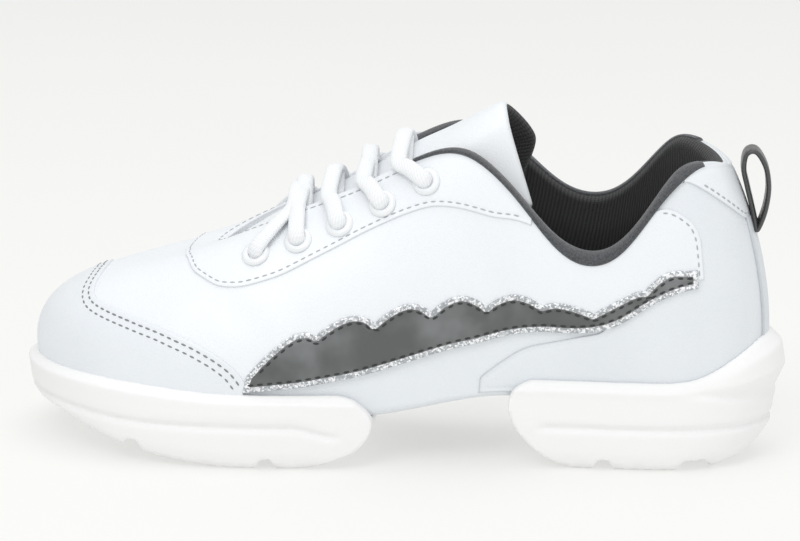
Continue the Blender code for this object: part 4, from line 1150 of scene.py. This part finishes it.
eyelet_seats = []
for number in range(EYELET_ROWS):
    row_here, rise = EYELET_PLACES[number]
    for side, label in ((1, "lateral"), (-1, "medial")):
        place = row_here if side > 0 else TURN - row_here
        out = unit(read_net(NORMALS, np.array([place]), np.array([rise])))[0]
        at = one(place, rise, EYESTAY_LAYER)
        eyelet_seats.append((number, side, place, rise, at, out))
        mesh = eyelet_pattern.data.copy()
        quaternion = Vector(out).to_track_quat("Z", "Y")
        mesh.transform(Matrix.Translation(Vector(at)) @ quaternion.to_matrix().to_4x4())
        eyelet = bpy.data.objects.new(f"eyelet_ring_{label}_{number + 1}", mesh)
        bpy.context.collection.objects.link(eyelet)
        mesh.materials.append(PLASTIC)
        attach(eyelet, "root")
        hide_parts(f"eyelet_{label}_{number + 1}")
bpy.data.objects.remove(eyelet_pattern)
print("eyelets:", len(eyelet_seats))

# %% [markdown]
# The lace is a flat oval cord. It goes over the eyestay's edge into each eyelet from above, and it
# comes out from under the leather to cross to the other side, one row nearer the ankle. Its ends
# stop at the top eyelets.

# %% Laces
LACE_WIDTH, LACE_THICKNESS = 0.0060, 0.0029


def eyelet_at(number, side):
    for found in eyelet_seats:
        if found[0] == number and found[1] == side:
            return found
    return None


def soften_rows(points, spread):
    """Softens a line of points, with its ends kept."""
    reach = 3 * spread
    weights = np.exp(-0.5 * (np.arange(-reach, reach + 1) / spread) ** 2)
    longer = np.concatenate([2 * points[:1] - points[reach:0:-1], points,
                             2 * points[-1:] - points[-2:-reach - 2:-1]])
    return sum(weight * longer[index:index + len(points)]
               for index, weight in enumerate(weights / weights.sum()))


def strand(name, points, ups, narrow_ends, sides=18, steps_along=110):
    """A flat oval cord along a path. Each point has its own up direction."""
    points = np.array(points)
    fine = np.linspace(0, 1, 400)
    path = smooth_path(points, fine)
    run = lengths_of(path)
    even = np.linspace(0, run[-1], steps_along + 1)
    centre = np.stack([np.interp(even, run, path[:, axis]) for axis in range(3)], 1)
    centre = soften_rows(centre, 3)
    ups_fine = np.stack([np.interp(fine, np.linspace(0, 1, len(ups)), np.array(ups)[:, axis]) for axis in range(3)], 1)
    up_way = np.stack([np.interp(even, run, ups_fine[:, axis]) for axis in range(3)], 1)
    up_way = soften_rows(up_way, 5)
    ahead = unit(np.gradient(centre, axis=0))
    across = unit(np.cross(ahead, up_way))
    up_way = unit(np.cross(across, ahead))
    run = lengths_of(centre)
    wide_here = np.ones(len(run))
    if narrow_ends[0]:
        wide_here = np.minimum(wide_here, 0.70 + 0.30 * smooth_step(0.0015, 0.0065, run))
    if narrow_ends[1]:
        wide_here = np.minimum(wide_here, 0.70 + 0.30 * smooth_step(0.0015, 0.0065, run[-1] - run))
    angle = 2 * math.pi * np.arange(sides) / sides
    wide = np.sign(np.cos(angle)) * np.abs(np.cos(angle)) ** 0.85 * LACE_WIDTH / 2
    tall = np.sign(np.sin(angle)) * np.abs(np.sin(angle)) ** 0.95 * LACE_THICKNESS / 2
    loops = (centre[:, None] + across[:, None] * wide[None, :, None] * wide_here[:, None, None]
             + up_way[:, None] * tall[None, :, None])
    loops = np.concatenate([loops, loops[:, :1]], 1)
    piece, column, row = flat_grid(name, steps_along, sides)
    lay(piece, loops[column, row])
    set_uv(piece, row * (2.6 * LACE_WIDTH / sides), run[column])
    piece.data.materials.append(LACE_CLOTH)
    clean(piece)
    return piece


LEAN = 0.62
TONGUE_RISE_UNDER = 0.0058
LACE_OVER = 0.0026


def over_end(number, side):
    """Points and ups from inside the eyelet's hole, over the leather, to beyond the throat edge."""
    _, _, place, rise, at, out = eyelet_at(number, side)
    forward = LEAN * side if number < EYELET_ROWS - 1 else -0.05 * side
    path_points, path_ups = [], []
    edge = one(place + forward, 1.0, EYESTAY_LAYER + 0.0012)
    toward_edge = unit(edge - at)
    for deep, slide, tilt in ((-0.0042, -0.0004, 1.0), (-0.0016, -0.0010, 1.0), (0.0008, -0.0009, 0.75),
                              (0.0026, 0.0008, 0.3)):
        path_points.append(at + out * deep + toward_edge * slide)
        path_ups.append(out * (1 - tilt) - toward_edge * tilt)
    for part, lift in ((0.42, 0.0034), (0.72, 0.0030)):
        there = place + forward * part
        rise_there = rise + (1 - rise) * part
        path_points.append(one(there, rise_there, EYESTAY_LAYER + lift - 0.0010))
        path_ups.append(unit(read_net(NORMALS, np.array([there]), np.array([rise_there])))[0])
    path_points.append(edge)
    path_ups.append(unit(out + UP * 0.8))
    return path_points, path_ups


def under_end(number, side):
    _, _, place, rise, at, out = eyelet_at(number, side)
    place = place - 0.12 * side
    edge = one(place, 1.0, -0.0016) + UP * 0.0004
    deep = one(place, float(below_mouth(np.array([place]), 0.0060)[0]), -0.0046)
    return [edge, deep], [unit(out + UP * 0.8), out]


strands = []
for number in range(EYELET_ROWS - 1):
    for side in (1, -1):
        over_points, over_ups = over_end(number, side)
        under_points, under_ups = under_end(number + 1, -side)
        on_top = 1 if (side > 0) == (number % 2 == 0) else 0
        crossing = [over_points[-1] * (1 - part) + under_points[0] * part
                    + UP * ((TONGUE_RISE_UNDER + LACE_OVER * on_top) * math.sin(math.pi * part))
                    for part in (0.28, 0.5, 0.74)]
        points = over_points + crossing + under_points
        ups = over_ups + [UP, UP, UP] + under_ups
        strands.append(strand(f"lace_{number}_{side}", points, ups, (True, False)))
last = EYELET_ROWS - 1
left_points, left_ups = over_end(last, 1)
right_points, right_ups = over_end(last, -1)
crossing = [left_points[-1] * (1 - part) + right_points[-1] * part
            + UP * TONGUE_RISE_UNDER * math.sin(math.pi * part) for part in (0.3, 0.7)]
strands.append(strand("lace_front", left_points + crossing + right_points[::-1],
                      left_ups + [UP, UP] + right_ups[::-1], (True, True)))
lace = joined(strands)
lace.name = "lace_bars"
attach(lace, "root")
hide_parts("lace")
print("lace bars:", len(strands))

# %% [markdown]
# The pull loop is a ribbon folded over and sewn to the back of the heel. It is swept along a closed
# path in the shoe's middle plane.

# %% Pull loop
LOOP_WIDTH, LOOP_RIBBON = 0.0130, 0.0019
# Behind the heel's middle line: distances back from the tread's middle and heights, in millimetres
LOOP_LINE = ((33.4, 81.0), (35.4, 85.5), (36.6, 91.0), (36.9, 97.0), (35.6, 103.5), (32.2, 108.6),
             (28.8, 107.8), (28.0, 102.5), (29.4, 96.5), (31.0, 90.5), (32.4, 85.0))
loop_path = np.array([(-back / 1000, 0.0, high / 1000) for back, high in LOOP_LINE])
loop_shares = np.linspace(0, 1, 121)
loop_line = smooth_path(loop_path, loop_shares, closed=True)
loop_ahead = unit(np.roll(loop_line[:-1], -1, axis=0) - np.roll(loop_line[:-1], 1, axis=0))
loop_ahead = np.concatenate([loop_ahead, loop_ahead[:1]])
loop_out = np.stack([-loop_ahead[:, 2], 0 * loop_ahead[:, 0], loop_ahead[:, 0]], 1)
angle = 2 * math.pi * np.arange(29) / 28
section_wide = np.sign(np.cos(angle)) * np.abs(np.cos(angle)) ** 0.35 * LOOP_WIDTH / 2
section_thick = np.sign(np.sin(angle)) * np.abs(np.sin(angle)) ** 0.8 * LOOP_RIBBON / 2
loop_points = (loop_line[:, None] + np.array([0.0, 1.0, 0.0]) * section_wide[None, :, None]
               + loop_out[:, None] * section_thick[None, :, None])
pull_loop, column, row = flat_grid("pull_loop_ribbon", 120, 28)
lay(pull_loop, loop_points[column, row])
set_uv(pull_loop, section_wide[row], lengths_of(loop_line)[column])
pull_loop.data.materials.append(RIBBON)
clean(pull_loop, holes=False)
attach(pull_loop, "root")
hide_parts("pull_loop")
print("pull loop:", len(pull_loop.data.polygons), "faces")

# %% [markdown]
# The sole is cast in two pods. The whole section is drawn round the foot first, then each pod is cut
# from it with a side outline, and the tread gaps are cut out. A voxel remesh and a light smoothing
# round all edges at once, as a mould does.

# %% Sole blank
RIM_OVER_SEAT, BACK_CUP, RIM_WIDTH, FLARE = 0.0072, 0.0150, 0.0036, 0.0058
GROOVE_HEIGHT, GROOVE_WIDTH, GROOVE_DEPTH = 0.0148, 0.0034, 0.0019
TREAD_INSET, LUG_GAP, LUG_DEPTH = 0.0030, 0.0068, 0.0034
SOLE_COLUMNS = 260


def tread_height(x):
    toe = TOE_SPRING * np.maximum(0.0, (share_of(x) - 0.70) / 0.30) ** 1.9
    heel = 0.5 * TOE_SPRING * np.maximum(0.0, (0.085 - share_of(x)) / 0.06) ** 1.8
    return toe + heel


BACK_FLARE = 0.0038


def sole_section(place):
    """The sole's section at one place, from the seat over the rim and down to the tread."""
    rises = np.linspace(0.0, 0.8, 81)
    column_points = skin(np.full(81, place), rises)
    foot = column_points[0]
    out = outward(np.array([place]))[0]
    share = share_of(foot[0])
    climb = 1 - smooth_step(0.02, 0.16, share)
    back_flare = BACK_FLARE * float(1 - smooth_step(0.015, 0.13, share))
    step = 0.0010 * float(1 - smooth_step(0.110, 0.150, share))
    ball = 0.0016 * smooth_step(0.45, 0.6, share) * (1 - smooth_step(0.8, 1.0, share))
    rim = float(foot[2] + RIM_OVER_SEAT + ball + BACK_CUP * climb ** 1.6)
    end = max(float(smooth_step(0.86, 0.98, share)), float(1 - smooth_step(0.03, 0.16, share)))
    groove = float(GROOVE_HEIGHT + 0.16 * TOE_SPRING * smooth_step(0.8, 1.0, share))
    groove -= 0.0036 * float((1 - smooth_step(0.575, 0.640, share)) * smooth_step(0.40, 0.50, share))
    groove_fade = float(1 - smooth_step(0.300, 0.326, share) + smooth_step(0.570, 0.592, share))
    tall = rim - groove
    points = []

    def beside(z, distance):
        at = [np.interp(z, column_points[:, 2], column_points[:, axis]) for axis in (0, 1)]
        points.append(np.array([at[0], at[1], z]) + out * distance)

    points.append(seated(foot - out * MARGIN, -0.0003))
    points.append(seated(foot + out * 0.0003, -0.0003))
    for part in (0.34, 0.67, 1.0):
        beside(foot[2] + (rim - foot[2]) * part, 0.0006)
    lip = RIM_WIDTH * (1 - 0.55 * float(1 - smooth_step(0.02, 0.14, share)))
    beside(rim + 0.0003, 0.5 * lip)
    beside(rim - 0.0006, lip + 0.25 * back_flare)
    below_lip = rim - 0.14 * tall
    beside(below_lip, lip + (FLARE - lip) * 0.55 - 0.5 * step + 0.85 * back_flare)
    high_ledge = rim - 0.30 * tall
    low_ledge = min(groove + 0.0085, high_ledge)
    ledge = high_ledge + (low_ledge - high_ledge) * float(1 - smooth_step(0.070, 0.150, share))
    over_ledge = ledge + min(0.0016, 0.1 * tall)
    beside((below_lip + over_ledge) / 2, FLARE - 0.8 * step + back_flare)
    beside(over_ledge, FLARE - step + 0.45 * back_flare)
    beside(ledge, FLARE + 0.3 * step + 0.30 * back_flare)
    beside(groove + GROOVE_WIDTH * 1.2, FLARE + 0.0005)
    beside(groove + GROOVE_WIDTH / 2, FLARE + 0.0004)
    beside(groove, FLARE + 0.0004 - GROOVE_DEPTH * groove_fade)
    beside(groove - GROOVE_WIDTH / 2, FLARE + 0.0002)
    inset = TREAD_INSET * (1 + 2.2 * end)
    side = foot[:2] + out[:2] * (FLARE - inset)
    tread = float(tread_height(side[0]))
    beside(tread + (groove - tread) * 0.62, FLARE - 0.02 * inset - 0.30 * back_flare)
    beside(tread + (groove - tread) * 0.38, FLARE - 0.12 * inset - 0.45 * back_flare)
    beside(tread + (groove - tread) * 0.14, FLARE - 0.45 * inset - 0.30 * back_flare)
    points.append(np.array([side[0], side[1], tread]))
    points.append(np.array([*(foot[:2] + out[:2] * (FLARE - inset - 0.004)), tread]))
    return points


sections = np.array([sole_section(place) for place in np.arange(SOLE_COLUMNS + 1) * TURN / SOLE_COLUMNS])
print("sole sections:", sections.shape[:2])


def sole_blank(name):
    """The closed blank: a band of sections, closed above and below by rows straight across."""
    piece, column, row = flat_grid(name, SOLE_COLUMNS, sections.shape[1] - 1)
    lay(piece, sections[column, row])
    for level in (0, sections.shape[1] - 1):
        half_count = SOLE_COLUMNS // 2
        lid, lid_column, lid_row = flat_grid("lid", half_count, 8)
        left = sections[lid_column, level]
        opposite = sections[SOLE_COLUMNS - lid_column, level]
        share = (lid_row / 8)[:, None]
        lay(lid, left * (1 - share) + opposite * share)
        lid.select_set(True)
        piece.select_set(True)
        bpy.context.view_layer.objects.active = piece
        bpy.ops.object.join()
    clean(piece, merge=2e-6, holes=False)
    return piece


# %% [markdown]
# Each cutter is a slab drawn from the side: a rounded outline that keeps one pod, and wedges that
# open the gaps between the treads.

# %% Cut and round the pods
FOREFOOT_END = ((0.640, 3.00), (0.618, 1.08), (0.585, 0.99), (0.556, 0.90), (0.537, 0.74),
                (0.530, 0.58), (0.536, 0.40), (0.553, 0.22), (0.585, 0.08), (0.625, -0.02),
                (0.640, -0.50))
HEEL_END = ((0.290, 3.00), (0.306, 1.08), (0.330, 1.00), (0.350, 0.90), (0.357, 0.75),
            (0.354, 0.58), (0.343, 0.40), (0.326, 0.24), (0.304, 0.10), (0.272, -0.02),
            (0.260, -0.50))
FOREFOOT_LUGS = (0.666, 0.841)
HEEL_LUGS = (0.108, 0.124, 0.233)


def slab(name, outline):
    """A cutter as wide as the shoe, extruded from an outline in the XZ plane."""
    bpy.ops.object.select_all(action="DESELECT")
    bpy.ops.mesh.primitive_circle_add(vertices=len(outline), radius=0.01, fill_type="NGON")
    piece = bpy.context.object
    piece.name = name
    lay(piece, np.array([(x, BALL_WIDTH, z) for x, z in outline]))
    bpy.ops.object.mode_set(mode="EDIT")
    bpy.ops.mesh.select_all(action="SELECT")
    bpy.ops.mesh.extrude_region_move(TRANSFORM_OT_translate={"value": (0, -2 * BALL_WIDTH, 0)})
    bpy.ops.mesh.select_all(action="SELECT")
    bpy.ops.mesh.normals_make_consistent(inside=False)
    bpy.ops.object.mode_set(mode="OBJECT")
    return piece


def carve(piece, cutter, operation):
    apply(piece, "BOOLEAN", object=cutter, operation=operation, solver="EXACT")
    bpy.data.objects.remove(cutter)


for name, end, far, lugs in (("forefoot_sole", FOREFOOT_END, 1.20, FOREFOOT_LUGS),
                             ("heel_sole", HEEL_END, -0.20, HEEL_LUGS)):
    pod = sole_blank(name + "_pod")
    rim = SEAT_HEIGHT + RIM_OVER_SEAT - (BALL_DROP * 0.6 if far > 1 else 0.0)
    curve = smooth_path(np.array(end[1:-1]), np.linspace(0, 1, 49))
    outline = [(along(end[0][0]), end[0][1] * rim)] + [(along(share), high * rim) for share, high in curve]
    outline += [(along(end[-1][0]), end[-1][1] * rim), (along(far), -0.5 * rim), (along(far), 3.0 * rim)]
    carve(pod, slab("keep", outline), "INTERSECT")
    for share in lugs:
        x = along(share)
        floor = float(tread_height(x))
        low_half, high_half = LUG_GAP / 2 + LUG_DEPTH, LUG_GAP / 4
        gap = [(x - low_half, floor - 2 * LUG_DEPTH), (x + low_half, floor - 2 * LUG_DEPTH),
               (x + high_half, floor + LUG_DEPTH), (x - high_half, floor + LUG_DEPTH)]
        carve(pod, slab("gap", gap), "DIFFERENCE")
    apply(pod, "REMESH", mode="VOXEL", voxel_size=0.00070)
    apply(pod, "SMOOTH", factor=0.5, iterations=6)
    only(pod)
    bpy.ops.object.shade_smooth()
    directions = np.empty(len(pod.data.vertices) * 3)
    pod.data.vertices.foreach_get("normal", directions)
    stored = pod.data.attributes.new("tread", "FLOAT", "POINT")
    stored.data.foreach_set("value", smooth_step(0.80, 0.95, -directions.reshape(-1, 3)[:, 2]))
    pod.data.materials.clear()
    pod.data.materials.append(RUBBER)
    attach(pod, "root")
    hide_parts(name)
    print(name, len(pod.data.polygons), "faces")

# %% [markdown]
# The insole and the lasting board lie inside. The insole is a thin pad of black mesh, softened at
# its edge. The board keeps its solid, and gets its cloth.

# %% Insole and board
insole = NODES["insole"].copy()
insole.data = NODES["insole"].data.copy()
insole.name = "insole_pad"
bpy.context.collection.objects.link(insole)
insole.parent = None
insole.hide_render = False
insole.hide_viewport = False
clean(insole, merge=1e-6, holes=False)
apply(insole, "SUBSURF", levels=2, render_levels=2)
insole.data.materials.clear()
insole.data.materials.append(MESH_LINING)
points = np.empty(len(insole.data.vertices) * 3)
insole.data.vertices.foreach_get("co", points)
points = points.reshape(-1, 3)
insole.data.attributes.new("edge_mm", "FLOAT", "POINT")
for layer in list(insole.data.uv_layers):
    insole.data.uv_layers.remove(layer)
set_uv(insole, points[:, 1], points[:, 0])
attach(insole, "root")
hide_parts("insole")
board = NODES["lasting_board"]
for slot_of_board in board.material_slots:
    slot_of_board.material = BOARD_CLOTH
print("insole and board dressed")

# %% [markdown]
# Every seam is sewn. One stitch is a short rounded bar, and it is copied along the seam at an even
# pitch. The seam's line is moved in from the panel's edge on the surface itself.

# %% Stitches
STITCH_LONG = 0.0021
bpy.ops.object.select_all(action="DESELECT")
bpy.ops.mesh.primitive_uv_sphere_add(segments=8, ring_count=6, radius=0.5)
stitch_pattern = bpy.context.object
stitch_points = np.empty(len(stitch_pattern.data.vertices) * 3)
stitch_pattern.data.vertices.foreach_get("co", stitch_points)
stitch_points = stitch_points.reshape(-1, 3)
stitch_faces = [tuple(face.vertices) for face in stitch_pattern.data.polygons]
bpy.data.objects.remove(stitch_pattern)


def inset_line(place, rise, inset):
    """Moves a line sideways on the surface by a distance, towards the mouth if it is positive."""
    points = skin(place, rise)
    ahead = unit(np.gradient(points, axis=0))
    out = unit(read_net(NORMALS, place, rise))
    sideways = unit(np.cross(out, ahead))
    by_place = (skin(place + 0.02, rise) - skin(place - 0.02, rise)) / 0.04
    by_rise = (skin(place, rise + 0.01) - skin(place, rise - 0.01)) / 0.02
    sideways = np.where((np.einsum("ij,ij->i", sideways, by_rise) < 0)[:, None], -sideways, sideways)
    move = sideways * inset
    a = np.einsum("ij,ij->i", by_place, by_place)
    b = np.einsum("ij,ij->i", by_place, by_rise)
    c = np.einsum("ij,ij->i", by_rise, by_rise)
    p = np.einsum("ij,ij->i", move, by_place)
    q = np.einsum("ij,ij->i", move, by_rise)
    determinant = a * c - b * b
    return place + (c * p - b * q) / determinant, rise + (a * q - b * p) / determinant


def sew(name, place, rise, inset, lift, finish, pitch=0.0029, wide=0.00075):
    """A row of stitches beside a seam."""
    place, rise = inset_line(np.asarray(place, float), np.asarray(rise, float), inset)
    keep = (rise > 0.01) & (rise < 0.995)
    place, rise = place[keep], rise[keep]
    line = skin(place, rise, lift)
    run = lengths_of(line)
    count = int(run[-1] / pitch)
    at = (np.arange(count) + 0.5) * run[-1] / count
    centre = np.stack([np.interp(at, run, line[:, axis]) for axis in range(3)], 1)
    ahead = unit(np.stack([np.interp(at + 0.0004, run, line[:, axis]) - np.interp(at - 0.0004, run, line[:, axis])
                           for axis in range(3)], 1))
    places_at = np.interp(at, run, place)
    rises_at = np.interp(at, run, rise)
    out = unit(read_net(NORMALS, places_at, rises_at))
    across = unit(np.cross(out, ahead))
    vertices, faces = [], []
    for index in range(count):
        jitter = 1 + random.uniform(-0.08, 0.08)
        base = len(vertices)
        local = (centre[index] + stitch_points[:, 0:1] * ahead[index] * STITCH_LONG * jitter
                 + stitch_points[:, 1:2] * across[index] * wide
                 + stitch_points[:, 2:3] * out[index] * wide * 0.8)
        vertices.extend(map(tuple, local))
        faces.extend(tuple(corner + base for corner in face) for face in stitch_faces)
    mesh = bpy.data.meshes.new(name)
    mesh.from_pydata(vertices, [], faces)
    piece = bpy.data.objects.new(name, mesh)
    bpy.context.collection.objects.link(piece)
    only(piece)
    bpy.ops.object.shade_smooth()
    mesh.materials.append(finish)
    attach(piece, "root")
    print(name, count, "stitches")


def smooth_pairs(first, second, spread=5):
    """Two lists softened together, with their ends kept."""
    weights = np.exp(-0.5 * (np.arange(-3 * spread, 3 * spread + 1) / spread) ** 2)
    weights = weights / weights.sum()
    return tuple(np.convolve(np.pad(values, 3 * spread, "edge"), weights, "valid")
                 for values in (first, second))


toe_line = np.linspace(8.43, TURN - 8.43, 500)
for number, inset in enumerate((-0.0022, -0.0047)):
    sew(f"toe_stitches_{number + 1}", toe_line, at_row(TOE_SEAM, toe_line), inset, TOE_LAYER - 0.0001, GREY_THREAD)
stay_line = np.linspace(4.8, TURN - 4.8, 700)
sew("eyestay_stitches", stay_line, at_row(EYESTAY_SEAM, stay_line), 0.0016, EYESTAY_LAYER - 0.00022, PALE_THREAD,
    wide=0.00062)
throat_line = np.linspace(7.0, TURN - 7.0, 400)
sew("throat_stitches", throat_line, below_mouth(throat_line, 0.0030), 0.0, EYESTAY_LAYER, PALE_THREAD,
    wide=0.00062)
tab_line = np.linspace(-1.5, 1.5, 200)
sew("tab_stitches", tab_line, at_row(TAB_SEAM, tab_line), 0.0016, TAB_LAYER - 0.0002, PALE_THREAD)
for side, label in ((1, "lateral"), (-1, "medial")):
    quarter_rows = np.concatenate([np.full(30, 1.62), np.linspace(1.62, 2.30, 90)])
    quarter_rises = np.concatenate([np.linspace(0.52, 0.68, 30), at_row(QUARTER_BACK, quarter_rows[30:])])
    quarter_rows, quarter_rises = smooth_pairs(quarter_rows, quarter_rises)
    sew(f"quarter_stitches_{label}", quarter_rows if side > 0 else TURN - quarter_rows, quarter_rises,
        -0.0015, VAMP_LAYER - 0.0001, PALE_THREAD)
    band_rows = np.linspace(BAND_ENDS[0] + 0.06, BAND_ENDS[1] - 0.06, 900)
    band_places = band_rows if side > 0 else TURN - band_rows
    sew(f"band_foot_stitches_{label}", band_places, at_row(BAND_FOOT, band_places), 0.0025, BAND_LAYER - 0.0001,
        DARK_THREAD, pitch=0.0033)
    sew(f"band_top_stitches_{label}", band_places, band_high(band_places), -0.0026, BAND_LAYER - 0.0001,
        DARK_THREAD, pitch=0.0033)

# %% [markdown]
# A pale sweep and soft light from large lamps give the photograph's even, bright look. The sweep
# glows a little, as a light table does, so the shadow under the arch stays pale. It isn't part of
# the object.

# %% Floor, backdrop and lights
bpy.ops.object.select_all(action="DESELECT")
bpy.ops.mesh.primitive_plane_add(size=2.0)
sweep = bpy.context.object
sweep.name = "paper_sweep"
lay(sweep, np.array([(-6.0, 4.0, -0.0003), (6.0, 4.0, -0.0003), (-6.0, -5.0, -0.0003), (6.0, -5.0, -0.0003)]))
bpy.ops.object.mode_set(mode="EDIT")
bpy.ops.mesh.select_all(action="DESELECT")
bpy.ops.object.mode_set(mode="OBJECT")
for edge in sweep.data.edges:
    edge.select = all(sweep.data.vertices[index].co.y < 0 for index in edge.vertices)
bpy.ops.object.mode_set(mode="EDIT")
bpy.ops.mesh.select_mode(type="EDGE")
bpy.ops.mesh.extrude_region_move(TRANSFORM_OT_translate={"value": (0, 0, 5.0)})
bpy.ops.mesh.select_all(action="SELECT")
bpy.ops.mesh.normals_make_consistent(inside=False)
bpy.ops.object.mode_set(mode="OBJECT")
apply(sweep, "BEVEL", width=0.5, segments=12, limit_method="ANGLE")
bpy.ops.object.shade_smooth()
PAPER, tree, shader = start_material("pale paper")
where = node(tree, "ShaderNodeTexCoord")
tone = node(tree, "ShaderNodeTexNoise", {"Scale": 3.0, "Detail": 2.0})
tree.links.new(where.outputs["Object"], tone.inputs["Vector"])
tree.links.new(mix_colours(tree, tone.outputs[0], (0.40, 0.40, 0.39), (0.42, 0.42, 0.41)),
               shader.inputs["Base Color"])
shader.inputs["Emission Color"].default_value = (1.0, 1.0, 0.985, 1.0)
shader.inputs["Emission Strength"].default_value = 0.48
shader.inputs["Roughness"].default_value = 0.9
sweep.data.materials.append(PAPER)

world = bpy.data.worlds.new("studio")
bpy.context.scene.world = world
world.use_nodes = True
world.node_tree.nodes["Background"].inputs["Color"].default_value = (1.0, 1.0, 1.0, 1.0)
world.node_tree.nodes["Background"].inputs["Strength"].default_value = 0.70


def lamp(name, place, size, power):
    """A square soft lamp that looks at the shoe."""
    light = bpy.data.lights.new(name, "AREA")
    light.size = size
    light.energy = power
    made = bpy.data.objects.new(name, light)
    bpy.context.collection.objects.link(made)
    made.location = place
    made.rotation_euler = (Vector(place) - Vector(TARGET)).to_track_quat("Z", "Y").to_euler()
    return made


lamp("key", (0.5, 1.1, 1.3), 0.9, 7.0)
lamp("top", (0.0, -0.1, 1.5), 1.2, 6.0)
lamp("fill", (-0.8, 1.3, 0.6), 1.0, 3.0)
print("stage and lights ready")
